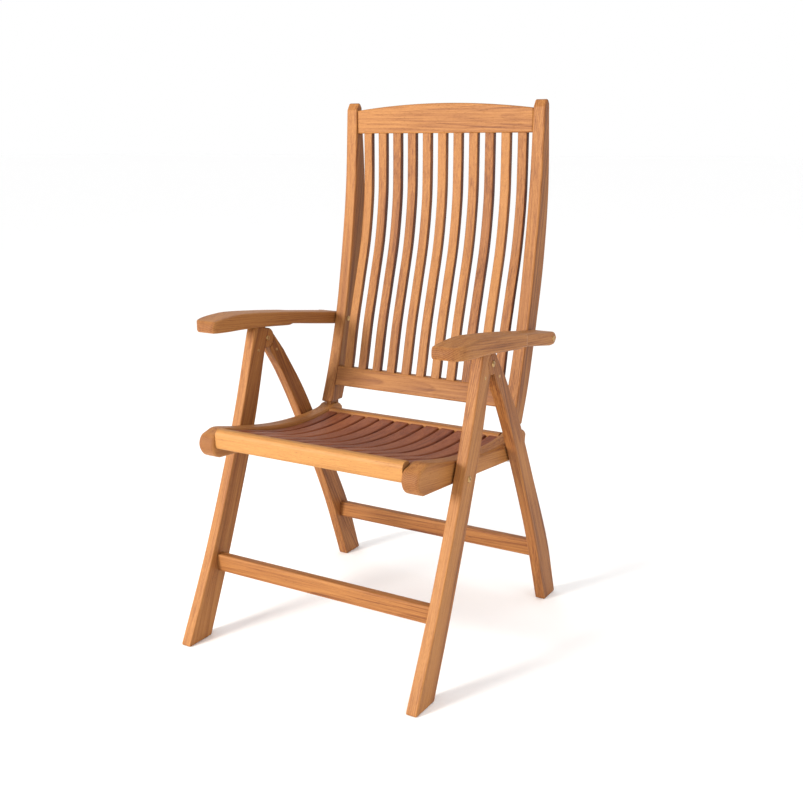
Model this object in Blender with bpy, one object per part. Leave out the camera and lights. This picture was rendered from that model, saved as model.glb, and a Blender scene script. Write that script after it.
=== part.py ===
"""Folding slatted armchair with a high reclining back, as separate joined pieces.

Metres, +Z up, the chair faces -Y, and left/right are the -X/+X sides.
Side profiles are written in (depth, height) pairs, with depth counted towards the back.
"""
import math

import bmesh
import bpy
from mathutils import Matrix, Vector

# ---------------------------------------------------------------- driving sizes
GAP = 0.0003                 # clearance between pieces that are fixed together
RUN = 0.0006                 # clearance between pieces that turn against each other
EDGE = 0.0022                # chamfer on wooden edges
BORE = 0.00008               # radial clearance of a shaft in its hole

LEG_OUTER_X = 0.2760
LEG_THICK = 0.0225
LEG_INNER_X = LEG_OUTER_X - LEG_THICK
LEG_MID_X = LEG_INNER_X + LEG_THICK / 2

FRONT_LEG_FRONT = [(-0.3020, 0.0), (-0.2100, 0.190), (-0.1165, 0.420), (-0.0555, 0.610)]
FRONT_LEG_BACK = [(-0.2335, 0.0), (-0.1645, 0.160), (-0.0715, 0.400), (-0.0212, 0.5710)]
REAR_LEG_FRONT = [(0.2755, 0.0), (0.2035, 0.185), (0.1030, 0.390), (0.0415, 0.500), (0.0000, 0.5600)]
REAR_LEG_BACK = [(0.3330, 0.0), (0.2815, 0.140), (0.1985, 0.300), (0.1170, 0.450), (0.0435, 0.558)]
FRONT_LEG_STEPS = 8
REAR_LEG_STEPS = 9

HINGE = (-0.0120, 0.5915)    # axis on which the rear legs turn against the front legs
HEAD_R = 0.0215
FRONT_HEAD_TURN = (95, -112)   # the rounded part of each head, in degrees about the hinge
REAR_HEAD_TURN = (289, 20)
LEG_TOP_Z = 0.6205
LEG_CROWN = [(-0.0530, LEG_TOP_Z - 0.0050), (-0.0500, LEG_TOP_Z - 0.0010)]
NIB = (-0.0365, 0.6212)      # rounded tooth on top of each front leg
NIB_R = 0.0085
BEHIND_NIB = (-0.0230, LEG_TOP_Z - 0.0010)

STRETCHER_HIGH = 0.036
STRETCHER_THICK = 0.019
FRONT_STRETCHER = (-0.2050, 0.1330)
REAR_STRETCHER = (0.2510, 0.1070)
TENON_IN = 0.012
TENON_SHOULDER = 0.005

RAIL_CLEAR = 0.0035          # between the side rails and the legs
RAIL_OUTER_X = LEG_INNER_X - RAIL_CLEAR
RAIL_THICK = 0.0365
RAIL_EDGE = 0.0030
RAIL_INNER_X = RAIL_OUTER_X - RAIL_THICK
RAIL_TOP = [(-0.2300, 0.4400), (-0.2050, 0.4440), (-0.1500, 0.4320), (-0.0540, 0.4140),
            (0.0160, 0.4055), (0.0900, 0.4020), (0.1480, 0.4040)]
RAIL_BOTTOM = [(0.1900, 0.3525), (0.1160, 0.3600), (-0.0210, 0.3720), (-0.1430, 0.3820), (-0.2250, 0.3885)]
RAIL_NOSE = [(-0.2380, 0.3950), (-0.2462, 0.4055), (-0.2495, 0.4175), (-0.2465, 0.4290), (-0.2395, 0.4368)]
SEAT_PIVOT = (-0.1050, 0.3910)
BACK_PIVOT = (0.1860, 0.3850)
EAR_R = 0.0270
EAR_TURN = (95, 30)
EAR_RISE = [(0.1640, 0.4070), (0.1715, 0.4110)]
EAR_BACK = [(0.2070, 0.3850), (0.2055, 0.3700), (0.2000, 0.3585)]
EAR_SLOT = (0.1690, 0.3640)  # front and floor of the slot for the tongue
SEAT_FRONT_RAIL = [(-0.2160, 0.4105), (-0.2160, 0.4455), (-0.2220, 0.4486), (-0.2325, 0.4490),
                   (-0.2385, 0.4455), (-0.2410, 0.4390), (-0.2410, 0.4160), (-0.2380, 0.4105)]
SEAT_REAR_RAIL = [(0.1500, 0.3720), (0.1500, 0.4020), (0.1535, 0.4055), (0.1705, 0.4055),
                  (0.1740, 0.4020), (0.1740, 0.3720)]
SEAT_SLAT_TOP = [(-0.2160, 0.4435), (-0.1500, 0.4285), (-0.0700, 0.4085), (0.0100, 0.3980),
                 (0.0800, 0.3960), (0.1500, 0.4005)]
SEAT_SLAT_THICK = 0.0125
SEAT_SLAT_EDGE = 0.0012
SEAT_SLAT_PITCH = 0.17564 * RAIL_INNER_X
SEAT_SLAT_GAP = 0.0068
SEAT_SLAT_COUNT = 12
SEAT_SLAT_STUB = 0.0060      # how far a slat goes into a cross rail
SEAT_SLAT_LIFT = (0.0008, 0.0003)
SEAT_SOCKET_CLEAR = 0.0012
CROSS_EDGE = 0.0015

STILE_SET = 0.0100           # how far the stiles stand inside the side rails
STILE_OUTER_X = RAIL_OUTER_X - STILE_SET
STILE_THICK = 0.0270
STILE_INNER_X = STILE_OUTER_X - STILE_THICK
STILE_MID_X = STILE_INNER_X + STILE_THICK / 2
BACK_FOOT_Z = 0.4180         # height of the stiles' shoulders
BACK_RISE = 0.6620           # from there to their tips; the stiles' heights are shares of it
STILE_FRONT = [(0.1590, 0.0), (0.1905, 0.1239), (0.2255, 0.3051), (0.2510, 0.5015),
               (0.2728, 0.7281), (0.2832, 0.9758)]
STILE_BACK = [(0.2075, 0.0), (0.2385, 0.1239), (0.2705, 0.3051), (0.2995, 0.5015),
              (0.3140, 0.7281), (0.3045, 0.9849)]
STILE_TOP = [(0.2990, 0.9970), (0.2955, 1.0), (0.2920, 0.9970)]
STILE_STEPS = 12
TONGUE_THICK = 0.0120
TONGUE_R = 0.0150
TONGUE_SIDE = 0.0004
TONGUE_ROOT = [(0.1708, BACK_FOOT_Z + 0.0020), (0.1735, BACK_FOOT_Z + 0.0160),
               (0.2050, BACK_FOOT_Z + 0.0160), (0.2010, BACK_FOOT_Z + 0.0020)]
BACK_RAIL = [(0.1760, 0.4555), (0.1905, 0.4965), (0.2110, 0.4965), (0.1965, 0.4555)]
CREST_Y = (0.2848, 0.3056)
CREST_LOW = BACK_FOOT_Z + 0.8985 * BACK_RISE
CREST_END_HIGH = CREST_LOW + 0.0492
CREST_ARCH = 0.0130
CREST_STEPS = 16
BACK_SLAT_FRONT = [(0.1908, 0.0), (0.1990, 0.0603), (0.2175, 0.2072), (0.2438, 0.3748), (0.2695, 0.5424),
                   (0.2845, 0.7100), (0.2880, 0.8400), (0.2885, 1.0)]
BACK_SLAT_THICK = 0.0130
BACK_SLAT_WIDE = 0.0210
BACK_SLAT_PITCH = 0.17653 * STILE_INNER_X
BACK_SLAT_COUNT = 11
BACK_SLAT_EDGE = 0.0015
BACK_SLAT_STUB = 0.0073      # how far a slat goes into the rails above and below it
BACK_SLAT_LOW = BACK_RAIL[1][1] - BACK_SLAT_STUB
BACK_SLAT_HIGH = CREST_LOW + BACK_SLAT_STUB
BACK_SLAT_STEPS = 14

ARM_CLEAR = 0.0025           # between the arms and the stiles
ARM_WIDE = 0.0595
ARM_TAIL_STEP = 0.0090
ARM_INNER_X = STILE_OUTER_X + ARM_CLEAR
ARM_OUTER_X = ARM_INNER_X + ARM_WIDE
ARM_TAIL_X = ARM_OUTER_X - ARM_TAIL_STEP
ARM_EDGE = 0.0030
ARM_TOP = [(-0.1860, 0.6540), (-0.1300, 0.6565), (-0.0830, 0.6550), (0.0300, 0.6425), (0.1500, 0.6262),
           (0.2250, 0.6160)]
ARM_NOSE = [(-0.1985, 0.6370), (-0.1980, 0.6440), (-0.1945, 0.6500)]
ARM_BOTTOM = [(0.0560, 0.6095), (-0.0300, 0.6185), (-0.0950, 0.6235), (-0.1500, 0.6260), (-0.1900, 0.6290)]
ARM_TAIL_UNDER = [(0.1500, 0.5990), (0.0575, 0.6125)]
ARM_PLAN = [(ARM_INNER_X, 0.3000), (ARM_INNER_X, -0.1900), (ARM_INNER_X + 0.0030, -0.1955),
            (ARM_INNER_X + 0.0090, -0.1995), (ARM_OUTER_X - 0.0300, -0.1995),
            (ARM_OUTER_X - 0.0160, -0.1950), (ARM_OUTER_X - 0.0065, -0.1860),
            (ARM_OUTER_X - 0.0015, -0.1730), (ARM_OUTER_X, -0.1560), (ARM_OUTER_X, 0.0860),
            (ARM_TAIL_X, 0.0950), (ARM_TAIL_X, 0.3000)]
ARM_PIVOT = (0.2360, 0.6010)
ARM_END_R = 0.0140
ARM_END_TURN = (80, -95)
CHANNEL_Y = (-0.1600, -0.0050)
CHANNEL_SIDE = 0.0023
CHANNEL_X = (LEG_INNER_X - CHANNEL_SIDE, LEG_OUTER_X + CHANNEL_SIDE)
CHANNEL_ROOF_Z = LEG_TOP_Z + 0.0042
NOTCH_COUNT = 5
NOTCH_PITCH = 0.0245
NOTCH_RISE = 0.078           # climb of the row of notches towards the front
NOTCH_CLEAR = 0.0007

BOLT_R = 0.0032
BOLT_HEAD_R = 0.0065
BOLT_HEAD_T = 0.0020
PIN_R = 0.0038
PIN_PROUD = 0.0004
WASHER_PLAY = 0.0002
WASHER_RIM = 0.0010
REST_PIN = (0.1430, 0.3572)
REST_PIN_R = 0.0050
REST_PIN_IN = 0.0060         # how far the pin stops short of the faces on either side of it
REST_NOTCH_CLEAR = 0.0006
REST_NOTCH_RUN = (-0.0260, -0.0170)
FRONT_HEAD_PIN = (-0.0445, 0.5700)
REAR_HEAD_PIN = (0.0170, 0.5620)

# the middle of the footprint is the origin
CENTRE_Y = (FRONT_LEG_FRONT[0][0] + REAR_LEG_BACK[0][0]) / 2

TEAK = (0.62, 0.38, 0.19, 1.0)
TEAK_DARK = (0.50, 0.28, 0.14, 1.0)
BRASS = (0.72, 0.54, 0.26, 1.0)
STEEL = (0.55, 0.55, 0.56, 1.0)


# ---------------------------------------------------------------- helpers
def clear_scene():
    for obj in list(bpy.data.objects):
        bpy.data.objects.remove(obj, do_unlink=True)


def material(name, colour, metallic, roughness):
    mat = bpy.data.materials.new(name)
    mat.use_nodes = True
    shader = mat.node_tree.nodes["Principled BSDF"]
    shader.inputs["Base Color"].default_value = colour
    shader.inputs["Metallic"].default_value = metallic
    shader.inputs["Roughness"].default_value = roughness
    return mat


def new_object(name, mesh, finish=None):
    obj = bpy.data.objects.new(name, mesh)
    bpy.context.scene.collection.objects.link(obj)
    if finish is not None:
        colour, metallic, roughness = finish
        mesh.materials.clear()
        mesh.materials.append(material(name, colour, metallic, roughness))
    return obj


def wood(dark=False):
    return (TEAK_DARK if dark else TEAK, 0.0, 0.55)


def brass():
    return (BRASS, 1.0, 0.35)


def steel():
    return (STEEL, 1.0, 0.35)


def bake(obj):
    """Replace an object's mesh by the one its modifiers make."""
    graph = bpy.context.evaluated_depsgraph_get()
    mesh = bpy.data.meshes.new_from_object(obj.evaluated_get(graph))
    old = obj.data
    obj.modifiers.clear()
    obj.data = mesh
    bpy.data.meshes.remove(old)


def chamfer(obj, width=EDGE, segments=1):
    mod = obj.modifiers.new("edges", "BEVEL")
    mod.width = width
    mod.segments = segments
    mod.limit_method = "ANGLE"
    mod.angle_limit = math.radians(40)
    mod.use_clamp_overlap = True
    bake(obj)


def combine(obj, other, operation="DIFFERENCE"):
    """Cut, join or intersect with another object, which is used up."""
    mod = obj.modifiers.new("combine", "BOOLEAN")
    mod.operation = operation
    mod.solver = "EXACT"
    mod.object = other
    bake(obj)
    mesh = other.data
    bpy.data.objects.remove(other, do_unlink=True)
    bpy.data.meshes.remove(mesh)


def mesh_from(bm, name):
    bmesh.ops.recalc_face_normals(bm, faces=bm.faces)
    mesh = bpy.data.meshes.new(name)
    bm.to_mesh(mesh)
    bm.free()
    return mesh


def prism_x(name, outline, x0, x1, finish=None):
    """Extrude a (depth, height) outline across the chair."""
    bm = bmesh.new()
    ring = [bm.verts.new((x0, y - CENTRE_Y, z)) for y, z in outline]
    face = bm.faces.new(ring)
    out = bmesh.ops.extrude_face_region(bm, geom=[face])
    moved = [v for v in out["geom"] if isinstance(v, bmesh.types.BMVert)]
    bmesh.ops.translate(bm, vec=(x1 - x0, 0, 0), verts=moved)
    return new_object(name, mesh_from(bm, name), finish)


def prism_z(name, outline, z0, z1):
    """Extrude an (across, depth) outline upwards."""
    bm = bmesh.new()
    ring = [bm.verts.new((x, y - CENTRE_Y, z0)) for x, y in outline]
    face = bm.faces.new(ring)
    out = bmesh.ops.extrude_face_region(bm, geom=[face])
    moved = [v for v in out["geom"] if isinstance(v, bmesh.types.BMVert)]
    bmesh.ops.translate(bm, vec=(0, 0, z1 - z0), verts=moved)
    return new_object(name, mesh_from(bm, name))


def boxes(name, spans, finish=None):
    """One mesh of separate boxes, each given as (x0, x1, y0, y1, z0, z1)."""
    bm = bmesh.new()
    for x0, x1, y0, y1, z0, z1 in spans:
        size = Vector((x1 - x0, y1 - y0, z1 - z0))
        middle = Vector(((x0 + x1) / 2, (y0 + y1) / 2 - CENTRE_Y, (z0 + z1) / 2))
        where = Matrix.Translation(middle) @ Matrix.Diagonal(size.to_4d())
        bmesh.ops.create_cube(bm, size=1.0, matrix=where)
    return new_object(name, mesh_from(bm, name), finish)


def turned_x(name, profile, centre, finish=None, steps=14):
    """Turn a closed (across, radius) profile about a line along X."""
    bm = bmesh.new()
    y, z = centre[0] - CENTRE_Y, centre[1]
    rings = []
    for x, radius in profile:
        if radius < 1e-6:
            rings.append([bm.verts.new((x, y, z))])
            continue
        ring = []
        for i in range(steps):
            turn = 2 * math.pi * i / steps
            ring.append(bm.verts.new((x, y + radius * math.cos(turn), z + radius * math.sin(turn))))
        rings.append(ring)
    for one, two in zip(rings, rings[1:]):
        for i in range(steps):
            j = (i + 1) % steps
            corners = [one[i % len(one)], one[j % len(one)], two[j % len(two)], two[i % len(two)]]
            unique = list(dict.fromkeys(corners))
            bm.faces.new(unique)
    obj = new_object(name, mesh_from(bm, name), finish)
    obj.data.shade_smooth()
    obj.data.set_sharp_from_angle(angle=math.radians(35))
    return obj


def rod(name, x0, x1, radius, centre, finish=None, steps=14):
    return turned_x(name, [(x0, 0), (x0, radius), (x1, radius), (x1, 0)], centre, finish, steps)


def bolt(name, x_head, x_nut, centre, finish):
    """A bolt along X with a low domed head at each end, outside x_head and x_nut."""
    way = 1 if x_head > x_nut else -1
    head, tail = x_head + way * GAP, x_nut - way * GAP
    dome = [(head + way * BOLT_HEAD_T, 0), (head + way * BOLT_HEAD_T * 0.9, BOLT_HEAD_R * 0.45),
            (head + way * BOLT_HEAD_T * 0.4, BOLT_HEAD_R * 0.88), (head, BOLT_HEAD_R), (head, BOLT_R)]
    end = [(tail, BOLT_R), (tail, BOLT_HEAD_R * 0.9),
           (tail - way * BOLT_HEAD_T * 0.8, BOLT_HEAD_R * 0.8), (tail - way * BOLT_HEAD_T, 0)]
    return turned_x(name, dome + end, centre, finish)


def washer(name, x0, x1, centre, finish):
    inner = BOLT_R + WASHER_PLAY
    outer = BOLT_HEAD_R + WASHER_RIM
    return turned_x(name, [(x0, inner), (x0, outer), (x1, outer), (x1, inner), (x0, inner)], centre, finish)


def drill(piece, radius, centre):
    """Bore a hole across the whole piece."""
    combine(piece, rod("hole", STILE_INNER_X / 2, ARM_OUTER_X + 0.05, radius, centre))


def curve(points, steps):
    """A smooth line through the points, with equal steps between each pair."""
    ends = [tuple(2 * a - b for a, b in zip(points[0], points[1]))]
    tail = [tuple(2 * a - b for a, b in zip(points[-1], points[-2]))]
    padded = [Vector(p) for p in ends + list(points) + tail]
    line = []
    spans = len(points) - 1
    for i in range(steps + 1):
        where = min(i * spans / steps, spans - 1e-9)
        k = int(where)
        t = where - k
        a, b, c, d = padded[k:k + 4]
        p = (2 * b + (c - a) * t + (2 * a - 5 * b + 4 * c - d) * t ** 2 + (3 * b - a - 3 * c + d) * t ** 3) / 2
        line.append((p.x, p.y))
    return line


def at_height(line, height):
    """Depth of a rising (depth, height) line at a height."""
    for (y0, z0), (y1, z1) in zip(line, line[1:]):
        if z0 <= height <= z1:
            return y0 + (y1 - y0) * (height - z0) / (z1 - z0)
    nearest = min(line, key=lambda p: abs(p[1] - height))
    return nearest[0]


def raised(points, foot, rise):
    """(depth, share) pairs as (depth, height) pairs."""
    return [(y, foot + share * rise) for y, share in points]


def arc(centre, radius, start, stop, steps):
    """Points on a circle from one angle to another, in degrees from the +depth direction."""
    points = []
    for i in range(steps + 1):
        turn = math.radians(start + (stop - start) * i / steps)
        points.append((centre[0] + radius * math.cos(turn), centre[1] + radius * math.sin(turn)))
    return points


def mirrored(obj, name):
    """The same piece on the other side of the chair."""
    mesh = obj.data.copy()
    mesh.materials.clear()
    mesh.transform(Matrix.Scale(-1, 4, (1, 0, 0)))
    mesh.flip_normals()
    source = obj.data.materials[0].node_tree.nodes["Principled BSDF"]
    finish = (tuple(source.inputs["Base Color"].default_value), source.inputs["Metallic"].default_value,
              source.inputs["Roughness"].default_value)
    return new_object(name, mesh, finish)


def set_origin(obj, centre):
    """Put the object's origin on a line along X, without moving the shape."""
    offset = Vector((0, centre[0] - CENTRE_Y, centre[1]))
    obj.data.transform(Matrix.Translation(-offset))
    obj.location = offset


# ---------------------------------------------------------------- legs
def front_leg():
    front = curve(FRONT_LEG_FRONT, FRONT_LEG_STEPS)
    back = curve(FRONT_LEG_BACK, FRONT_LEG_STEPS)
    top = LEG_CROWN + arc(NIB, NIB_R, 175, 5, 8) + [BEHIND_NIB]
    head = arc(HINGE, HEAD_R, *FRONT_HEAD_TURN, 14)
    leg = prism_x("front_leg_R", front + top + head + back[::-1], LEG_INNER_X, LEG_OUTER_X, wood())
    chamfer(leg)
    reach = HEAD_R + RUN
    combine(leg, rod("half", LEG_MID_X - RUN / 2, LEG_OUTER_X + 0.01, reach, HINGE, steps=32))
    drill(leg, BOLT_R + BORE, HINGE)
    drill(leg, PIN_R + GAP, FRONT_HEAD_PIN)
    drill(leg, BOLT_R + BORE, SEAT_PIVOT)
    combine(leg, mortise(FRONT_STRETCHER))
    return leg


def rear_leg():
    front = curve(REAR_LEG_FRONT, REAR_LEG_STEPS)
    back = curve(REAR_LEG_BACK, REAR_LEG_STEPS)
    head = arc(HINGE, HEAD_R, *REAR_HEAD_TURN, 16)
    outline = front + head + back[::-1]
    leg = prism_x("rear_leg_R", outline, LEG_INNER_X, LEG_OUTER_X, wood())
    chamfer(leg)
    reach = HEAD_R + RUN
    combine(leg, rod("half", LEG_INNER_X - 0.01, LEG_MID_X + RUN / 2, reach, HINGE, steps=32))
    drill(leg, BOLT_R + BORE, HINGE)
    drill(leg, PIN_R + GAP, REAR_HEAD_PIN)
    combine(leg, rod("hole", LEG_INNER_X - 0.01, LEG_OUTER_X - REST_PIN_IN, REST_PIN_R + GAP, REST_PIN))
    combine(leg, mortise(REAR_STRETCHER))
    return leg


def tenon_span(corner, grow, x_end):
    y, z = corner
    inset = TENON_SHOULDER - grow
    return (-x_end, x_end, y + inset, y + STRETCHER_THICK - inset,
            z + inset, z + STRETCHER_HIGH - inset)


def mortise(corner):
    return boxes("mortise", [tenon_span(corner, GAP, LEG_INNER_X + TENON_IN + GAP)])


def stretcher(name, corner):
    y, z = corner
    end = LEG_INNER_X - GAP
    bar = boxes(name, [(-end, end, y, y + STRETCHER_THICK, z, z + STRETCHER_HIGH)], wood())
    chamfer(bar)
    tenon = boxes("tenon", [tenon_span(corner, 0, LEG_INNER_X + TENON_IN)])
    combine(bar, tenon, "UNION")
    return bar


# ---------------------------------------------------------------- seat
def ear_outline():
    """The upturned rear end of a side rail, rounded about the back's pivot."""
    return EAR_RISE + arc(BACK_PIVOT, EAR_R, *EAR_TURN, 6) + EAR_BACK


def side_rail():
    top = curve(RAIL_TOP, 10)
    bottom = curve(RAIL_BOTTOM, 5)
    outline = top + ear_outline() + bottom + RAIL_NOSE
    rail = prism_x("seat_rail_R", outline, RAIL_INNER_X, RAIL_OUTER_X, wood())
    chamfer(rail, RAIL_EDGE)
    half = TONGUE_THICK / 2 + TONGUE_SIDE
    front, floor = EAR_SLOT
    slot = (STILE_MID_X - half, STILE_MID_X + half, front, front + 0.07, floor, floor + 0.09)
    combine(rail, boxes("slot", [slot]))
    drill(rail, BOLT_R + BORE, BACK_PIVOT)
    drill(rail, BOLT_R + BORE, SEAT_PIVOT)
    combine(rail, rest_notch())
    for outline in (SEAT_FRONT_RAIL, SEAT_REAR_RAIL):
        combine(rail, cross_tenon("mortise", outline, GAP, RAIL_INNER_X + TENON_IN + GAP))
    return rail


def rest_notch():
    """The open hook under the rail that sits on the rear legs' pin."""
    radius = REST_PIN_R + REST_NOTCH_CLEAR
    run = Vector(REST_NOTCH_RUN)
    lean = math.degrees(math.atan2(run.y, run.x))
    far = (REST_PIN[0] + run.x, REST_PIN[1] + run.y)
    outline = arc(REST_PIN, radius, lean + 270, lean + 90, 10) + arc(far, radius, lean + 90, lean - 90, 6)
    return prism_x("hook", outline, RAIL_INNER_X - 0.01, RAIL_OUTER_X + 0.01)


def cross_tenon(name, outline, grow, x_end):
    ys = [p[0] for p in outline]
    zs = [p[1] for p in outline]
    inset = TENON_SHOULDER - grow
    return boxes(name, [(-x_end, x_end, min(ys) + inset, max(ys) - inset, min(zs) + inset, max(zs) - inset)])


def seat_cross_rail(name, outline, slat_spans):
    end = RAIL_INNER_X - GAP
    rail = prism_x(name, outline, -end, end, wood())
    chamfer(rail, CROSS_EDGE)
    combine(rail, cross_tenon("tenon", outline, 0, RAIL_INNER_X + TENON_IN), "UNION")
    front = outline is SEAT_FRONT_RAIL
    face = max(p[0] for p in outline) if front else min(p[0] for p in outline)
    inwards = -1 if front else 1
    height = seat_slat_line()[0 if front else -1][1]
    near, far = sorted((face - inwards * 0.01, face + inwards * (SEAT_SLAT_STUB + GAP)))
    low = height - SEAT_SLAT_THICK - SEAT_SOCKET_CLEAR
    sockets = [(x0 - GAP, x1 + GAP, near, far, low, height + SEAT_SOCKET_CLEAR) for x0, x1 in slat_spans]
    combine(rail, boxes("sockets", sockets))
    return rail


def seat_slat_line():
    line = curve(SEAT_SLAT_TOP, 8)
    start = (line[0][0] - SEAT_SLAT_STUB, line[0][1] + SEAT_SLAT_LIFT[0])
    stop = (line[-1][0] + SEAT_SLAT_STUB, line[-1][1] + SEAT_SLAT_LIFT[1])
    return [start] + line + [stop]


def seat_slat_spans():
    """Where the slats lie across the seat; the outer two fill up what is left beside the rails."""
    gaps = [(i - (SEAT_SLAT_COUNT - 2) / 2) * SEAT_SLAT_PITCH for i in range(SEAT_SLAT_COUNT - 1)]
    starts = [-RAIL_INNER_X + GAP] + [gap + SEAT_SLAT_GAP / 2 for gap in gaps]
    stops = [gap - SEAT_SLAT_GAP / 2 for gap in gaps] + [RAIL_INNER_X - GAP]
    return list(zip(starts, stops))


def seat_slat(name, x0, x1):
    top = seat_slat_line()
    under = [(y, z - SEAT_SLAT_THICK) for y, z in reversed(top)]
    slat = prism_x(name, top + under, x0, x1, wood(True))
    chamfer(slat, SEAT_SLAT_EDGE)
    return slat


# ---------------------------------------------------------------- back
def stile():
    front = curve(raised(STILE_FRONT, BACK_FOOT_Z, BACK_RISE), STILE_STEPS)
    back = curve(raised(STILE_BACK, BACK_FOOT_Z, BACK_RISE), STILE_STEPS)
    outline = front + raised(STILE_TOP, BACK_FOOT_Z, BACK_RISE)[::-1] + back[::-1]
    piece = prism_x("back_stile_R", outline, STILE_INNER_X, STILE_OUTER_X, wood())
    chamfer(piece)
    half = TONGUE_THICK / 2
    tongue = arc(BACK_PIVOT, TONGUE_R, 0, -180, 10) + TONGUE_ROOT
    combine(piece, prism_x("tongue", tongue, STILE_MID_X - half, STILE_MID_X + half), "UNION")
    drill(piece, BOLT_R + BORE, BACK_PIVOT)
    drill(piece, BOLT_R + BORE, ARM_PIVOT)
    combine(piece, back_rail_tenon("mortise", GAP))
    combine(piece, crest_tenon("mortise", GAP))
    return piece


def back_rail_tenon(name, grow):
    lean = (BACK_RAIL[1][0] - BACK_RAIL[0][0]) / (BACK_RAIL[1][1] - BACK_RAIL[0][1])
    inset = TENON_SHOULDER - grow
    z0, z1 = BACK_RAIL[0][1] + inset, BACK_RAIL[1][1] - inset
    y0, y1 = BACK_RAIL[0][0] + lean * inset, BACK_RAIL[1][0] - lean * inset
    thick = BACK_RAIL[3][0] - BACK_RAIL[0][0]
    outline = [(y0 + inset, z0), (y1 + inset, z1), (y1 + thick - inset, z1), (y0 + thick - inset, z0)]
    end = STILE_INNER_X + TENON_IN + grow
    return prism_x(name, outline, -end, end)


def crest_tenon(name, grow):
    inset = TENON_SHOULDER - grow
    end = STILE_INNER_X + TENON_IN + grow
    span = (-end, end, CREST_Y[0] + inset, CREST_Y[1] - inset, CREST_LOW + inset, CREST_END_HIGH - inset)
    return boxes(name, [span])


def back_slat_spans():
    middle = (BACK_SLAT_COUNT - 1) / 2
    centres = [(i - middle) * BACK_SLAT_PITCH for i in range(BACK_SLAT_COUNT)]
    return [(x - BACK_SLAT_WIDE / 2, x + BACK_SLAT_WIDE / 2) for x in centres]


def back_slat_outline(grow=0.0, low=BACK_SLAT_LOW, high=BACK_SLAT_HIGH, steps=BACK_SLAT_STEPS):
    """The slats' S-shaped side outline between two heights, thickened by the given growth."""
    line = curve(raised(BACK_SLAT_FRONT, BACK_SLAT_LOW, BACK_SLAT_HIGH - BACK_SLAT_LOW), 56)
    heights = [low + (high - low) * i / steps for i in range(steps + 1)]
    front = [(at_height(line, z) - grow, z) for z in heights]
    rear = [(at_height(line, z) + BACK_SLAT_THICK + grow, z) for z in reversed(heights)]
    return front + rear


def back_slat(name, x0, x1):
    slat = prism_x(name, back_slat_outline(), x0, x1, wood())
    chamfer(slat, BACK_SLAT_EDGE)
    return slat


def slat_sockets(low, high):
    """The slats' ends, grown by the fixed clearance, as one cutter."""
    outline = back_slat_outline(GAP, low, high, 3)
    cutter = None
    for x0, x1 in back_slat_spans():
        piece = prism_x("socket", outline, x0 - GAP, x1 + GAP)
        if cutter is None:
            cutter = piece
            continue
        combine(cutter, piece, "UNION")
    return cutter


def bottom_rail():
    end = STILE_INNER_X - GAP
    rail = prism_x("back_bottom_rail", BACK_RAIL, -end, end, wood())
    chamfer(rail)
    combine(rail, back_rail_tenon("tenon", 0), "UNION")
    combine(rail, slat_sockets(BACK_SLAT_LOW - GAP, BACK_RAIL[1][1] + 0.01))
    return rail


def crest():
    end = STILE_INNER_X - GAP
    front = CREST_Y[0] - CENTRE_Y
    bm = bmesh.new()
    ring = [bm.verts.new((-end, front, CREST_LOW)), bm.verts.new((end, front, CREST_LOW))]
    for i in range(CREST_STEPS + 1):
        t = 1 - 2 * i / CREST_STEPS
        ring.append(bm.verts.new((end * t, front, CREST_END_HIGH + CREST_ARCH * (1 - t ** 2))))
    face = bm.faces.new(ring)
    out = bmesh.ops.extrude_face_region(bm, geom=[face])
    moved = [v for v in out["geom"] if isinstance(v, bmesh.types.BMVert)]
    bmesh.ops.translate(bm, vec=(0, CREST_Y[1] - CREST_Y[0], 0), verts=moved)
    rail = new_object("back_crest", mesh_from(bm, "back_crest"), wood())
    chamfer(rail)
    combine(rail, crest_tenon("tenon", 0), "UNION")
    combine(rail, slat_sockets(CREST_LOW - 0.01, BACK_SLAT_HIGH + GAP))
    return rail


# ---------------------------------------------------------------- arms
def arm():
    tail = arc(ARM_PIVOT, ARM_END_R, *ARM_END_TURN, 10)
    outline = curve(ARM_TOP, 9) + tail + ARM_TAIL_UNDER + curve(ARM_BOTTOM, 6) + ARM_NOSE
    piece = prism_x("arm_R", outline, ARM_INNER_X - 0.02, ARM_OUTER_X + 0.02, wood())
    combine(piece, prism_z("plan", ARM_PLAN, 0.55, 0.70), "INTERSECT")
    chamfer(piece, ARM_EDGE)
    combine(piece, channel())
    for k in range(NOTCH_COUNT):
        where = (NIB[0] - k * NOTCH_PITCH, NIB[1] + k * NOTCH_PITCH * NOTCH_RISE)
        combine(piece, rod("notch", CHANNEL_X[0], CHANNEL_X[1], NIB_R + NOTCH_CLEAR, where))
    drill(piece, BOLT_R + BORE, ARM_PIVOT)
    return piece


def channel():
    """The groove under the arm; its roof follows the row of notches."""
    y0, y1 = CHANNEL_Y
    outline = [(y0, 0.55), (y1, 0.55), (y1, CHANNEL_ROOF_Z - (y1 - NIB[0]) * NOTCH_RISE),
               (y0, CHANNEL_ROOF_Z + (NIB[0] - y0) * NOTCH_RISE)]
    return prism_x("groove", outline, *CHANNEL_X)


# ---------------------------------------------------------------- assembly
def both_sides(piece, centre=None):
    other = mirrored(piece, piece.name[:-1] + "L")
    if centre is not None:
        set_origin(piece, centre)
        set_origin(other, centre)


def head_pin(name, centre):
    return rod(name, LEG_INNER_X - PIN_PROUD, LEG_OUTER_X + PIN_PROUD, PIN_R, centre, brass())


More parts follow.
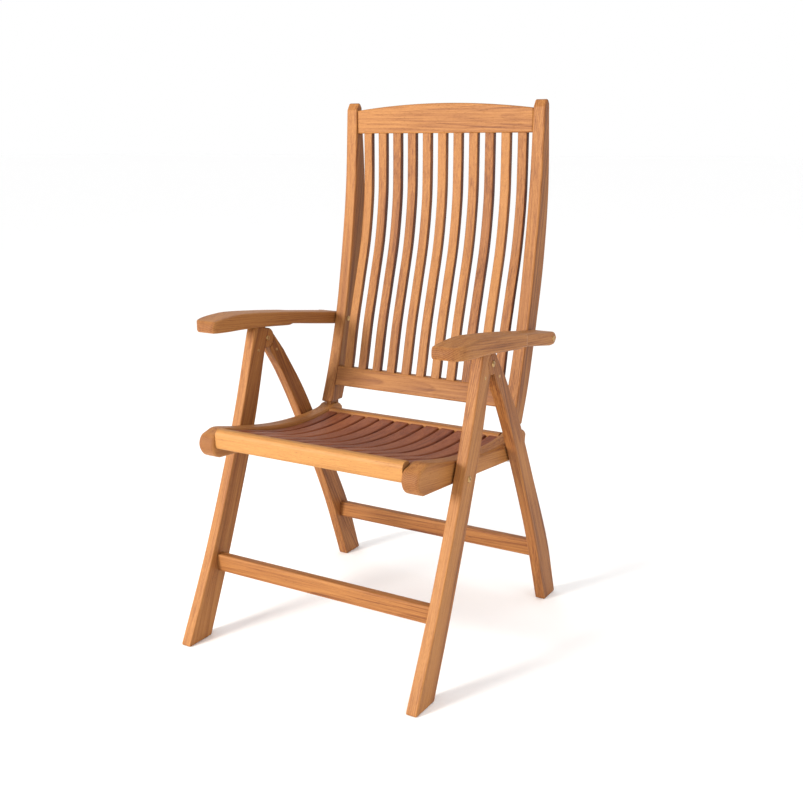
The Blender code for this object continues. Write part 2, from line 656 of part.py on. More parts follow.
def build_frames():
    both_sides(front_leg())
    both_sides(rear_leg(), HINGE)
    stretcher("front_stretcher", FRONT_STRETCHER)
    stretcher("rear_stretcher", REAR_STRETCHER)
    both_sides(bolt("leg_hinge_bolt_R", LEG_OUTER_X, LEG_INNER_X, HINGE, brass()))
    both_sides(head_pin("front_head_pin_R", FRONT_HEAD_PIN))
    both_sides(head_pin("rear_head_pin_R", REAR_HEAD_PIN))
    rest_end = LEG_OUTER_X - REST_PIN_IN - GAP
    both_sides(rod("seat_rest_pin_R", RAIL_INNER_X + REST_PIN_IN, rest_end, REST_PIN_R, REST_PIN, steel()))
    both_sides(bolt("seat_pivot_bolt_R", LEG_OUTER_X, RAIL_INNER_X, SEAT_PIVOT, brass()))
    gap_span = (RAIL_OUTER_X + GAP, LEG_INNER_X - GAP)
    both_sides(washer("seat_pivot_washer_R", *gap_span, SEAT_PIVOT, brass()))


def build_seat():
    both_sides(side_rail(), SEAT_PIVOT)
    spans = seat_slat_spans()
    seat_cross_rail("seat_front_rail", SEAT_FRONT_RAIL, spans)
    seat_cross_rail("seat_rear_rail", SEAT_REAR_RAIL, spans)
    for i, (x0, x1) in enumerate(spans):
        seat_slat("seat_slat_%02d" % (i + 1), x0, x1)


def build_back():
    both_sides(stile(), BACK_PIVOT)
    bottom_rail()
    crest()
    for i, (x0, x1) in enumerate(back_slat_spans()):
        back_slat("back_slat_%02d" % (i + 1), x0, x1)
    both_sides(bolt("back_pivot_bolt_R", RAIL_OUTER_X, RAIL_INNER_X, BACK_PIVOT, brass()), BACK_PIVOT)


def build_arms():
    both_sides(arm(), ARM_PIVOT)
    both_sides(bolt("arm_pivot_bolt_R", ARM_TAIL_X, STILE_INNER_X, ARM_PIVOT, brass()))
    both_sides(washer("arm_washer_R", STILE_OUTER_X + GAP, ARM_INNER_X - GAP, ARM_PIVOT, brass()))


clear_scene()
build_frames()
build_seat()
build_back()
build_arms()
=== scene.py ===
"""Looks of a slatted teak folding armchair: rounded, grained timber, brass hardware, pale studio.

Metres, +Z up, the chair faces -Y. Side outlines are (depth, height) pairs counted from the front and
the foot of the CAD box of the piece that they belong to, so each piece lands where the frame has it.
"""

import logging
import math
import random
from dataclasses import dataclass, field
from enum import Enum

import bmesh
import bpy
from mathutils import Matrix, Vector
from mathutils.geometry import intersect_line_line_2d


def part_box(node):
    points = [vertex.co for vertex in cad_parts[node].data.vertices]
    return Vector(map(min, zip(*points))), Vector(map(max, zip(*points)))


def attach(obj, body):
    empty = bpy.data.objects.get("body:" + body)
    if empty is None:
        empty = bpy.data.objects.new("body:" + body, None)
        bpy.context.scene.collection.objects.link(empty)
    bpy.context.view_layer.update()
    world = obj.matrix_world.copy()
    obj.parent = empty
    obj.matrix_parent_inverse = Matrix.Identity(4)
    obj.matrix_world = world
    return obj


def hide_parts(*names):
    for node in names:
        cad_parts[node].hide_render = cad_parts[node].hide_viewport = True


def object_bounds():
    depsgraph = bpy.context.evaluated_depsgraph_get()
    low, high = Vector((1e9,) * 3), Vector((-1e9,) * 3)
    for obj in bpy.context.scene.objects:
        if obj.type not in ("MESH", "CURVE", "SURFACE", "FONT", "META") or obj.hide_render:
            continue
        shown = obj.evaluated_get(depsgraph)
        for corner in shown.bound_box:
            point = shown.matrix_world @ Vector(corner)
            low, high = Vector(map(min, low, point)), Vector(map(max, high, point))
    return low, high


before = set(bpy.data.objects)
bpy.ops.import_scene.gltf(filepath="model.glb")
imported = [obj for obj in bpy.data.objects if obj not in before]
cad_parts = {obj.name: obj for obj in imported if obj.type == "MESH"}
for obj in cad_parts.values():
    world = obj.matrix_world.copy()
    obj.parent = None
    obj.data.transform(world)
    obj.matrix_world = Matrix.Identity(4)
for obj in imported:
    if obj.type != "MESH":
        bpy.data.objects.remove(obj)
CAD_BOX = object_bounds()
LOG = logging.getLogger("folding_armchair")

Point = tuple[float, float]     # (depth, height), or two places along X
Outline = list[Point]
CLEAR = 0.0003      # what separates two pieces that are fixed together
ACROSS = Vector((1, 0, 0))
UP = Vector((0, 0, 1))


class Side(Enum):
    """The two sides of the chair, as seen by somebody sitting opposite it."""

    LEFT = "L"
    RIGHT = "R"

    @property
    def sign(self) -> int:
        """Which way this side lies along X."""
        return 1 if self is Side.RIGHT else -1


# ------------------------------------------------------------------------------ shader building
class Wire:
    """A shader value that is written into other shader values with plain arithmetic."""

    def __init__(self, sheet: "Sheet", socket: bpy.types.NodeSocket) -> None:
        """Keep the socket and the sheet that it is on."""
        self.sheet = sheet
        self.socket = socket

    def _math(self, operation: str, *terms: "Wire | float") -> "Wire":
        """Add one Math node."""
        return self.sheet.node("ShaderNodeMath", {"operation": operation}, dict(enumerate(terms)))

    def __add__(self, other: "Wire | float") -> "Wire":
        """Sum."""
        return self._math("ADD", self, other)

    def __sub__(self, other: "Wire | float") -> "Wire":
        """Difference."""
        return self._math("SUBTRACT", self, other)

    def __rsub__(self, other: "Wire | float") -> "Wire":
        """Difference from a number."""
        return self._math("SUBTRACT", other, self)

    def __mul__(self, other: "Wire | float") -> "Wire":
        """Product."""
        return self._math("MULTIPLY", self, other)

    def __truediv__(self, other: "Wire | float") -> "Wire":
        """Quotient."""
        return self._math("DIVIDE", self, other)

    def __rtruediv__(self, other: "Wire | float") -> "Wire":
        """Quotient of a number."""
        return self._math("DIVIDE", other, self)

    __radd__ = __add__
    __rmul__ = __mul__

    def fraction(self) -> "Wire":
        """What is left over from whole numbers."""
        return self._math("FRACT", self)

    def root(self) -> "Wire":
        """Square root."""
        return self._math("SQRT", self)

    def between(self, low: float, high: float) -> "Wire":
        """How far the value has come from low to high, held between 0 and 1 and eased."""
        inputs = {"Value": self, "From Min": low, "From Max": high}
        return self.sheet.node("ShaderNodeMapRange", {"interpolation_type": "SMOOTHSTEP"}, inputs)


class Sheet:
    """The node sheet of one finish."""

    def __init__(self, name: str) -> None:
        """Start a material with its output and a Principled shader.

        Args:
            name: the material's name.
        """
        self.material = bpy.data.materials.new(name)
        self.material.use_nodes = True
        self.tree = self.material.node_tree
        self.shader = self.tree.nodes["Principled BSDF"]

    def node(self, kind: str, settings: dict[str, object], inputs: dict[str | int, object],
             output: str | int = 0) -> Wire:
        """Add any node.

        Args:
            kind: the node's type.
            settings: its properties, which are set first.
            inputs: values or links of its sockets, by name or place.
            output: which result to hand back.

        Returns:
            That result.
        """
        made = self.tree.nodes.new(kind)
        for key, value in settings.items():
            setattr(made, key, value)
        for key, value in inputs.items():
            self.feed(made.inputs[key], value)
        return Wire(self, made.outputs[output])

    def feed(self, socket: bpy.types.NodeSocket, value: object) -> None:
        """Link or set one socket.

        Args:
            socket: the socket.
            value: a wire, or a plain number, colour or vector.
        """
        if isinstance(value, Wire):
            self.tree.links.new(value.socket, socket)
        else:
            socket.default_value = value

    def mix(self, share: Wire, first: object, second: object) -> Wire:
        """Mix two colours.

        Args:
            share: how much of the second shows.
            first: colour or wire.
            second: colour or wire.

        Returns:
            The mixed colour.
        """
        made = self.tree.nodes.new("ShaderNodeMix")
        made.data_type = "RGBA"
        for socket, value in zip((made.inputs[0], made.inputs[6], made.inputs[7]), (share, first, second)):
            self.feed(socket, value)
        return Wire(self, made.outputs[2])

    def part(self, vector: Wire, axis: str) -> Wire:
        """One axis of a vector."""
        return self.node("ShaderNodeSeparateXYZ", {}, {0: vector}, axis)

    def noise(self, vector: Wire, long: float, cross: float, detail: float = 2.0, rough: float = 0.5) -> Wire:
        """Soft noise, about 0.5 in the middle.

        Args:
            vector: where to read it.
            long: how many lumps fill a metre along its first axis.
            cross: how many fill one along the other two.
            detail: how many finer layers it has.
            rough: how strong those are.

        Returns:
            The noise value.
        """
        scale = {0: vector, 1: (long, cross, cross)}
        spread = self.node("ShaderNodeVectorMath", {"operation": "MULTIPLY"}, scale)
        inputs = {"Vector": spread, "Scale": 1.0, "Detail": detail, "Roughness": rough}
        return self.node("ShaderNodeTexNoise", {}, inputs)

    def set(self, **sockets: object) -> None:
        """Feed the Principled shader's own sockets, with _ for a space in their names."""
        for key, value in sockets.items():
            self.feed(self.shader.inputs[key.replace("_", " ")], value)

    def bump(self, height: Wire, distance: float, strength: float) -> None:
        """Raise the surface by a height from 0 to 1, where 1 stands distance metres high."""
        inputs = {"Height": height, "Distance": distance, "Strength": strength}
        self.set(Normal=self.node("ShaderNodeBump", {}, inputs))


Colour = tuple[float, float, float, float]


def paint(red: float, green: float, blue: float) -> Colour:
    """An opaque colour."""
    return (red, green, blue, 1.0)


# ------------------------------------------------------------------------------ finishes
@dataclass(frozen=True)
class Teak:
    """Oiled teak: rings, long streaks, fine fibre, open pores, darker end grain, a painted highlight on
    rounded edges and painted shade on sides that face left and right.
    """

    name: str
    sap: Colour = paint(0.440, 0.204, 0.056)
    pale: Colour = paint(0.392, 0.167, 0.045)
    honey: Colour = paint(0.246, 0.086, 0.021)
    brown: Colour = paint(0.090, 0.024, 0.010)
    pore: Colour = paint(0.030, 0.010, 0.006)
    ring_wide: float = 0.0034
    sway: float = 0.010
    pore_depth: float = 0.00016
    dullness: float = 0.47

    def build(self) -> bpy.types.Material:
        """Make the material.

        Returns:
            The material. It reads the point attributes "grain" (metres along and across the log, from its
            heart) and "cut" (the piece's tone with painted side shade added, how much end grain shows, and
            how near an edge is, which sets the painted edge highlight).
        """
        sheet = Sheet(self.name)
        grain = sheet.node("ShaderNodeAttribute", {"attribute_name": "grain"}, {}, "Vector")
        cut = sheet.node("ShaderNodeAttribute", {"attribute_name": "cut"}, {}, "Vector")
        # tone holds the piece's own tone plus painted shade on faces that look left or right; edge says how
        # near a rounded edge is, for the painted highlight.
        tone, end, edge = (sheet.part(cut, axis) for axis in "XYZ")
        side, face = (sheet.part(grain, axis) for axis in "YZ")

        sway = sheet.noise(grain, 1.6, 9.0, 1.0)
        radius = (side * side + face * face).root() + sway * self.sway
        ring = (radius / self.ring_wide).fraction()
        late = ring.between(0.20, 0.90) * (1 - ring.between(0.93, 1.0))
        strength = sheet.noise(grain, 0.9, 70.0, 1.0).between(0.36, 0.70)
        streak = sheet.noise(grain, 1.8, 210.0, 3.0, 0.6).between(0.34, 0.70)
        vein = sheet.noise(grain, 5.0, 520.0, 3.0, 0.65).between(0.42, 0.68)
        fibre = sheet.noise(grain, 22.0, 1300.0, 3.0, 0.6)
        patch = sheet.noise(grain, 3.0, 20.0, 2.0)
        pores = sheet.noise(grain, 110.0, 2300.0, 1.0).between(0.60, 0.72)

        depth = late * (0.10 + strength * 0.34) + streak * 0.42 + vein * 0.30 + (patch - 0.5) * 0.8 + tone
        pale = sheet.mix(tone.between(-0.60, -0.30), self.sap, self.pale)
        colour = sheet.mix(depth.between(-0.10, 0.80), pale, self.honey)
        colour = sheet.mix((depth + fibre * 0.35).between(0.66, 1.50), colour, self.brown)
        colour = sheet.mix(fibre.between(0.35, 0.70) * 0.24, colour, self.brown)
        colour = sheet.mix(pores * (0.25 + late * 0.30), colour, self.pore)
        colour = sheet.mix(end * (0.38 + late * 0.25), colour, self.brown)
        # Painted highlight: rounded edges are painted paler, where highlights fall on them.
        colour = sheet.mix(edge * 0.16 * (1 - end), colour, self.pale)
        rough = self.dullness + fibre * 0.14 + pores * 0.12 + end * 0.12 - edge * 0.05
        sheet.set(Base_Color=colour, Roughness=rough, Specular_IOR_Level=0.25)
        sheet.bump(fibre * 0.5 + late * 0.25 - pores * 0.9, self.pore_depth, 0.6)
        return sheet.material


@dataclass(frozen=True)
class TurnedMetal:
    """Metal turned on a lathe: fine tool rings, small handling marks and a little tarnish."""

    name: str
    bright: Colour
    tarnish: Colour
    rough: float
    tarnished: float
    tool_depth: float = 0.00004

    def build(self) -> bpy.types.Material:
        """Make the material.

        Returns:
            The material, which reads the object's own coordinates.
        """
        sheet = Sheet(self.name)
        place = sheet.node("ShaderNodeTexCoord", {}, {}, "Object")
        cloud = sheet.noise(place, 260.0, 260.0, 3.0, 0.6)
        rings = sheet.noise(place, 6500.0, 420.0, 2.0)
        marks = sheet.noise(place, 900.0, 1900.0, 2.0).between(0.58, 0.70)
        share = cloud.between(0.40, 0.75) * self.tarnished + marks * 0.25
        sheet.set(Base_Color=sheet.mix(share, self.bright, self.tarnish), Metallic=1.0,
                  Roughness=self.rough + cloud * 0.16 + marks * 0.12)
        sheet.bump(rings * 0.6 + marks * 0.4, self.tool_depth, 0.5)
        return sheet.material


@dataclass(frozen=True)
class StudioFloor:
    """Pale matt studio paper."""

    name: str = "studio_paper"
    white: Colour = paint(1.0, 1.0, 1.0)
    shade: Colour = paint(0.99, 0.99, 0.99)

    def build(self) -> bpy.types.Material:
        """Make the material.

        Returns:
            The material.
        """
        sheet = Sheet(self.name)
        place = sheet.node("ShaderNodeTexCoord", {}, {}, "Object")
        cloud = sheet.noise(place, 3.0, 3.0, 2.0)
        sheet.set(Base_Color=sheet.mix(cloud, self.white, self.shade), Roughness=0.85)
        return sheet.material


OILED_TEAK = Teak("oiled_teak")
SEAT_TEAK = Teak("oiled_teak_seat", sap=paint(0.315, 0.098, 0.034), pale=paint(0.315, 0.098, 0.034),
                 honey=paint(0.190, 0.048, 0.019), brown=paint(0.075, 0.018, 0.010))
BRASS = TurnedMetal("brass", bright=paint(0.52, 0.33, 0.14), tarnish=paint(0.17, 0.085, 0.035),
                    rough=0.34, tarnished=0.85)
STEEL = TurnedMetal("steel", bright=paint(0.58, 0.58, 0.59), tarnish=paint(0.30, 0.29, 0.28),
                    rough=0.30, tarnished=0.35)


# ------------------------------------------------------------------------------ outlines
def drawn(*points: Point) -> Outline:
    """A dataclass field that starts as a list of these points."""
    return field(default_factory=lambda: list(points))


def toward(x: float, y: float, z: float) -> Vector:
    """A dataclass field that starts as this direction."""
    return field(default_factory=lambda: Vector((x, y, z)))


def held(value: float) -> float:
    """A number held between 0 and 1."""
    return max(0.0, min(1.0, value))


def smooth(points: Outline, per_span: int = 8) -> Outline:
    """A smooth line through the points.

    Args:
        points: (depth, height) pairs.
        per_span: steps between each pair.

    Returns:
        The finer line, which starts and ends on the same points.
    """
    ends = tuple(2 * a - b for a, b in zip(points[0], points[1]))
    tail = tuple(2 * a - b for a, b in zip(points[-1], points[-2]))
    padded = [Vector(p) for p in [ends, *points, tail]]
    line = []
    for a, b, c, d in zip(padded, padded[1:], padded[2:], padded[3:]):
        for i in range(per_span):
            t = i / per_span
            bend = (2 * a - 5 * b + 4 * c - d) * t ** 2 + (3 * b - a - 3 * c + d) * t ** 3
            line.append(tuple((2 * b + (c - a) * t + bend) / 2))
    return line + [tuple(points[-1])]


def arc(centre: Point, radius: float, start: float, stop: float, steps: int) -> Outline:
    """Points on a circle, with angles in degrees from straight back and upwards."""
    turns = [math.radians(start + (stop - start) * i / steps) for i in range(steps + 1)]
    return [(centre[0] + radius * math.cos(t), centre[1] + radius * math.sin(t)) for t in turns]


def circle(centre: Point, radius: float, sides: int) -> Outline:
    """A closed circle with that many corners."""
    return arc(centre, radius, 0, 360 - 360 / sides, sides - 1)


def along(points: Outline, where: float) -> float:
    """The second number of a list of pairs, read between them at a first number.

    Args:
        points: pairs in rising order of their first number.
        where: the first number to read at.

    Returns:
        The second number there.
    """
    if where <= points[0][0]:
        return points[0][1]
    for (a, b), (c, d) in zip(points, points[1:]):
        if where <= c:
            return b + (d - b) * (where - a) / max(c - a, 1e-9)
    return points[-1][1]


def turned_about(outline: Outline) -> Outline:
    """The outline in anticlockwise order."""
    area = sum(a[0] * b[1] - b[0] * a[1] for a, b in zip(outline, outline[1:] + outline[:1]))
    return outline if area > 0 else outline[::-1]


def filleted(outline: Outline, radius: float, steps: int = 4, sharper_than: float = 24.0) -> Outline:
    """An outline whose sharp corners are rounded.

    Args:
        outline: the closed outline.
        radius: the rounding.
        steps: how many steps a rounding has.
        sharper_than: the turn in degrees from which a corner counts as sharp.

    Returns:
        The rounded outline.
    """
    done = []
    for before, here, after in zip(outline[-1:] + outline[:-1], outline, outline[1:] + outline[:1]):
        corner, back, on = Vector(here), Vector(before) - Vector(here), Vector(after) - Vector(here)
        turn = math.pi - back.angle(on, math.pi)
        if math.degrees(turn) < sharper_than:
            done.append(here)
            continue
        reach = min(radius * math.tan(turn / 2), back.length * 0.48, on.length * 0.48)
        start, stop = corner + back.normalized() * reach, corner + on.normalized() * reach
        for i in range(steps + 1):
            t = i / steps
            done.append(tuple(start * (1 - t) ** 2 + corner * 2 * t * (1 - t) + stop * t ** 2))
    return done


def drawn_in(outline: Outline, amount: float) -> Outline:
    """An anticlockwise outline moved inwards.

    Args:
        outline: the closed outline.
        amount: how far.

    Returns:
        The smaller outline, point for point.
    """
    moved = []
    for before, here, after in zip(outline[-1:] + outline[:-1], outline, outline[1:] + outline[:1]):
        one = (Vector(here) - Vector(before)).normalized()
        two = (Vector(after) - Vector(here)).normalized()
        inward = Vector((-one.y - two.y, one.x + two.x))
        inward = inward.normalized() if inward.length > 1e-6 else Vector((-one.y, one.x))
        stretch = 1 / max(0.45, inward.dot(Vector((-one.y, one.x))))
        moved.append((here[0] + inward.x * amount * stretch, here[1] + inward.y * amount * stretch))
    return untangled(moved)


def untangled(moved: Outline, reach: int = 16) -> Outline:
    """A moved outline without the little loops that form where a corner is tighter than the move.

    Args:
        moved: the outline after the move.
        reach: how many points a loop may have.

    Returns:
        The outline, point for point; the points of a loop all lie where it crossed itself.
    """
    spots = [Vector(p) for p in moved]
    count = len(spots)
    for i in range(count):
        for span in range(reach, 1, -1):
            j = i + span
            ends = (spots[i], spots[(i + 1) % count], spots[j % count], spots[(j + 1) % count])
            hit = intersect_line_line_2d(*ends)
            if hit is None:
                continue
            for k in range(i + 1, j + 1):
                spots[k % count] = hit
            break
    return [tuple(p) for p in spots]


# ------------------------------------------------------------------------------ the bench
def placed(name: str, data: bpy.types.ID) -> bpy.types.Object:
    """Put an object into the scene.

    Args:
        name: its name.
        data: the mesh, lamp or camera that it shows.

    Returns:
        The object.
    """
    obj = bpy.data.objects.new(name, data)
    bpy.context.scene.collection.objects.link(obj)
    return obj


def meshed(name: str, bm: bmesh.types.BMesh) -> bpy.types.Object:
    """Put a bmesh into the scene, and free it.

    Args:
        name: the object's name.
        bm: the shape.

    Returns:
        The object.
    """
    mesh = bpy.data.meshes.new(name)
    bm.to_mesh(mesh)
    bm.free()
    return placed(name, mesh)


@dataclass
class Bench:
    """Where pieces are shaped and dressed, with one set of finishes and one run of wood tones."""

    teak: bpy.types.Material
    dark_teak: bpy.types.Material
    brass: bpy.types.Material
    steel: bpy.types.Material
    dice: random.Random = field(default_factory=lambda: random.Random(41))
    weld: float = 2e-6
    rolled_steps: int = 4
    face_ring: float = 0.0006
    crease: float = 38.0
    wander: float = 0.022
    tone_spread: float = 0.13
    tone_play: float = 0.05
    heart_far: Point = (0.045, 0.100)
    heart_off: float = 0.018
    board_long: float = 4.0
    end_ramp: Point = (0.45, 0.45)      # each ramp: where it starts, and how long it is
    # The next ramp sets where painted shade starts on faces that look left or right.
    painted_shade_ramp: Point = (0.35, 0.5)
    # The next ramp sets where the painted highlight starts near rounded edges.
    edge_highlight_ramp: Point = (0.985, 0.2)
    made: int = 0

    def stacked(self, name: str, rings: list[list[Vector]], capped: bool = True) -> bpy.types.Object:
        """Skin a row of closed rings that have the same number of points.

        Args:
            name: the object's name.
            rings: the rings, in order.
            capped: whether the first and last ring are closed.

        Returns:
            The object.
        """
        bm = bmesh.new()
        rows = [[bm.verts.new(p) for p in ring] for ring in rings]
        for one, two in zip(rows, rows[1:]):
            for i in range(len(one)):
                j = (i + 1) % len(one)
                bm.faces.new((one[i], one[j], two[j], two[i]))
        if capped:
            bm.faces.new(rows[0][::-1])
            bm.faces.new(rows[-1])
        bmesh.ops.remove_doubles(bm, verts=bm.verts, dist=self.weld)
        bmesh.ops.recalc_face_normals(bm, faces=bm.faces)
        return meshed(name, bm)

    def sawn(self, name: str, outline: Outline, x0: float, x1: float, roll: float,
             corner: float | None = None) -> bpy.types.Object:
        """Saw an outline out of a board that lies in the YZ plane and roll its edges over.

        Args:
            name: the object's name.
            outline: (depth, height) pairs in the frame.
            x0: the board's left face.
            x1: its right face.
            roll: radius of the rolled edges.
            corner: radius of the outline's sharp corners, or None for a little more than roll.

        Returns:
            The object.
        """
        shape = turned_about(filleted(outline, roll + 0.0010 if corner is None else corner))
        layers = self.rolled_board(x0, x1, roll)
        rings = [[Vector((x, y, z)) for y, z in drawn_in(shape, inset)] for x, inset in layers]
        return self.stacked(name, rings)

    def rolled_board(self, low: float, high: float, roll: float) -> list[tuple[float, float]]:
        """Where the rings of a rolled board lie.

        Args:
            low: its first face.
            high: its second face.
            roll: radius of its edges.

        Returns:
            (place, inset) pairs, with one more ring just inside each face to keep the face flat.
        """
        turns = [math.pi / 2 * k / self.rolled_steps for k in range(self.rolled_steps + 1)]
        rolled = [(roll * (1 - math.sin(t)), roll * (1 - math.cos(t))) for t in turns]
        one = [(0.0, roll + self.face_ring)] + rolled[::-1] + [(roll + self.face_ring, 0.0)]
        return [(low + a, inset) for a, inset in one] + [(high - a, inset) for a, inset in one[::-1]]

    def prism(self, name: str, outline: Outline, ends: Point) -> bpy.types.Object:
        """A plain block with one outline, from end to end along X."""
        return self.stacked(name, [[Vector((x, y, z)) for y, z in outline] for x in ends])

    def cut(self, obj: bpy.types.Object, tool: bpy.types.Object) -> None:
        """Cut another object out of this one, and remove it.

        Args:
            obj: what is changed.
            tool: the other object.
        """
        mod = obj.modifiers.new("cut", "BOOLEAN")
        mod.operation = "DIFFERENCE"
        mod.solver = "EXACT"
        mod.object = tool
        graph = bpy.context.evaluated_depsgraph_get()
        mesh = bpy.data.meshes.new_from_object(obj.evaluated_get(graph))
        obj.modifiers.clear()
        obj.data = mesh
        bpy.data.objects.remove(tool, do_unlink=True)

    def drill(self, obj: bpy.types.Object, ends: Point, radius: float, centre: Point) -> None:
        """Cut a round hole or recess along X."""
        self.cut(obj, self.prism("cutter", circle(centre, radius, 72), ends))

    def joined(self, obj: bpy.types.Object, other: bpy.types.Object) -> None:
        """Add another object's mesh to this one, and remove it.

        Args:
            obj: what is added to.
            other: what is added.
        """
        bm = bmesh.new()
        bm.from_mesh(obj.data)
        bm.from_mesh(other.data)
        bm.to_mesh(obj.data)
        bm.free()
        bpy.data.objects.remove(other, do_unlink=True)

    def dress_timber(self, obj: bpy.types.Object, fibres: Vector, body: str, node: str, slot: str = "teak",
                     tone: float | None = None, heart: Point | None = None, painted_side_shade: float = 0.0) -> None:
        """Give a finished wooden piece its grain, and hand it to the frame.

        Args:
            obj: the piece.
            fibres: the direction that its fibres run in.
            body: the CAD body that it rides on.
            node: the CAD node that it stands for.
            slot: the record's material slot.
            tone: darker above 0 and paler below, or None for a tone of its own.
            heart: how far away the log's heart lies, beside and behind the piece, or None for any.
            painted_side_shade: how much painted shade darkens its sides that face left and right.
        """
        self.finish(obj, self.dark_teak if slot == "teak_seat" else self.teak, self.crease)
        mesh, dice = obj.data, self.dice
        lean = Vector([dice.uniform(-1, 1) for _ in range(3)]) * self.wander
        fibre = (fibres.normalized() + lean).normalized()
        other = ACROSS if abs(fibre.x) < 0.8 else UP
        beside = (other - fibre * other.dot(fibre)).normalized()
        behind = fibre.cross(beside)
        log = heart or (dice.choice((-1, 1)) * dice.uniform(*self.heart_far),
                        dice.uniform(-self.heart_off, self.heart_off))
        shade = dice.gauss(0.0, self.tone_spread) if tone is None else tone + dice.gauss(0.0, self.tone_play)
        start = dice.uniform(0, self.board_long)
        middle = sum((v.co for v in mesh.vertices), Vector()) / len(mesh.vertices)
        (end, ends_in), (side, sides_in), (edge, edges_in) = self.end_ramp, self.painted_shade_ramp, self.edge_highlight_ramp
        grain, cuts = [], []
        for vert in mesh.vertices:
            p = vert.co - middle
            grain += [p.dot(fibre) + start, p.dot(beside) + log[0], p.dot(behind) + log[1]]
            facing = vert.normal
            flat = max(abs(facing.dot(way)) for way in (beside, behind, fibre))
            ended = held((abs(facing.dot(fibre)) - end) / ends_in)
            # Painted shade: faces that look left or right get a darker tone, scaled by the piece's painted
            # side shade, and lose the painted edge highlight.
            side_shade = held((abs(facing.x) - side) / sides_in) * painted_side_shade
            # The last value says how near a rounded edge is, which the material paints paler as a highlight.
            cuts += [shade + side_shade, ended, held((edge - flat) / edges_in) * (1 - side_shade)]
        for name, values in (("grain", grain), ("cut", cuts)):
            mesh.attributes.new(name, "FLOAT_VECTOR", "POINT").data.foreach_set("vector", values)
        self.hand_over(obj, body, slot, node)

    def finish(self, obj: bpy.types.Object, material: bpy.types.Material, crease: float) -> None:
        """Give a piece its material and smooth it.

        Args:
            obj: the piece.
            material: the material.
            crease: the angle in degrees from which an edge stays sharp.
        """
        obj.data.materials.clear()
        obj.data.materials.append(material)
        obj.data.shade_smooth()
        obj.data.set_sharp_from_angle(angle=math.radians(crease))

    def hand_over(self, obj: bpy.types.Object, body: str, slot: str, node: str) -> None:
        """Tie a finished piece to the frame.

        Args:
            obj: the piece.
            body: the body that it rides on.
            slot: the record's material slot; not used.
            node: the CAD node that it stands for.
        """
        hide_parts(node)
        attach(obj, body)
        self.made += 1
        LOG.info("%s on %s, %d faces", obj.name, body, len(obj.data.polygons))


@dataclass
class Place:
    """Where the frame has a CAD node."""

    node: str

    def __post_init__(self) -> None:
        """Read the node's box."""
        self.low, self.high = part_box(self.node)

    def at(self, outline: Outline) -> Outline:
        """An outline counted from this box's front and foot, in the frame."""
        return [(self.low.y + y, self.low.z + z) for y, z in outline]

    def point(self, place: Point) -> Point:
        """One point counted from this box's front and foot, in the frame."""
        return self.at([place])[0]

    @property
    def middle(self) -> Point:
        """(depth, height) of the middle of the box."""
        return ((self.low.y + self.high.y) / 2, (self.low.z + self.high.z) / 2)

    @property
    def centre_x(self) -> float:
        """The middle of the box along X."""
        return (self.low.x + self.high.x) / 2

    @property
    def radius(self) -> float:
        """Half the box's height, which is a round piece's radius."""
        return (self.high.z - self.low.z) / 2


# ------------------------------------------------------------------------------ legs
@dataclass
class LegFrame:
    """What the front and the rear leg frame share: two legs with halved heads, and a stretcher."""

    bench: Bench
    front: Outline
    back: Outline
    hinge: Point
    end: str
    outward: int        # 1: heads halved outside, fibres run up; -1: halved inside, fibres run down
    leg_tone: float
    stretcher_tone: float
    head_radius: float = 0.0215
    lap_clear: float = 0.0006
    lap_reach: float = 0.03
    roll: float = 0.0026
    stretcher_roll: float = 0.0036
    stretcher_end_roll: float = 0.0006
    stretcher_heart: Point = (0.012, 0.03)

    @property
    def body(self) -> str:
        """The CAD body that the frame rides on."""
        return f"{self.end}_frame"

    def head(self) -> Outline:
        """The outline of a leg's head, from its front edge to its back edge."""
        raise NotImplementedError

    def build(self) -> None:
        """Make and dress both legs and the stretcher."""
        for side in Side:
            self._leg(side)
        self._stretcher()

    def _leg(self, side: Side) -> None:
        """Make one leg.

        Args:
            side: which leg.
        """
        bench, place = self.bench, Place(f"{self.end}_leg_{side.value}")
        outline = smooth(self.front) + self.head() + smooth(self.back)[::-1]
        leg = bench.sawn(f"teak_{place.node}", place.at(outline), place.low.x, place.high.x, self.roll)
        ends = (place.centre_x, place.centre_x + self.outward * side.sign * self.lap_reach)
        bench.drill(leg, ends, self.head_radius + self.lap_clear, place.point(self.hinge))
        (foot, _), (top, high) = self.front[0], self.front[-1]
        bench.dress_timber(leg, Vector((0, top - foot, high)) * self.outward, self.body, place.node,
                           tone=self.leg_tone)

    def _stretcher(self) -> None:
        """Make the bar between the legs."""
        place = Place(f"{self.end}_stretcher")
        inner = Place(f"{self.end}_leg_R").low.x
        low, high = place.low, place.high
        outline = [(low.y, low.z), (high.y, low.z), (high.y, high.z), (low.y, high.z)]
        bar = self.bench.sawn(f"teak_{place.node}", outline, -inner + CLEAR, inner - CLEAR,
                              self.stretcher_end_roll, self.stretcher_roll)
        self.bench.dress_timber(bar, ACROSS, self.body, place.node, tone=self.stretcher_tone,
                                heart=self.stretcher_heart)


@dataclass
class FrontLegs(LegFrame):
    """The front pair of legs, whose heads are halved round the hinge, and their stretcher."""

    front: Outline = drawn((-0.0003, 0.0), (0.0917, 0.1900), (0.1852, 0.4200), (0.2462, 0.6100))
    back: Outline = drawn((0.0682, 0.0), (0.1372, 0.1600), (0.2302, 0.4000), (0.2805, 0.5710))
    hinge: Point = (0.2897, 0.5915)
    end: str = "front"
    outward: int = 1
    leg_tone: float = -0.10
    stretcher_tone: float = 0.02
    crown: Outline = drawn((0.2487, 0.6155), (0.2517, 0.6195))
    nib: Point = (0.2652, 0.6212)
    nib_radius: float = 0.0085
    behind_nib: Point = (0.2787, 0.6195)

    def head(self) -> Outline:
        """The crown, the nib that the arm's notches sit on, and the round of the hinge."""
        nib = arc(self.nib, self.nib_radius, 175, 5, 14)
        return self.crown + nib + [self.behind_nib] + arc(self.hinge, self.head_radius, 95, -112, 28)


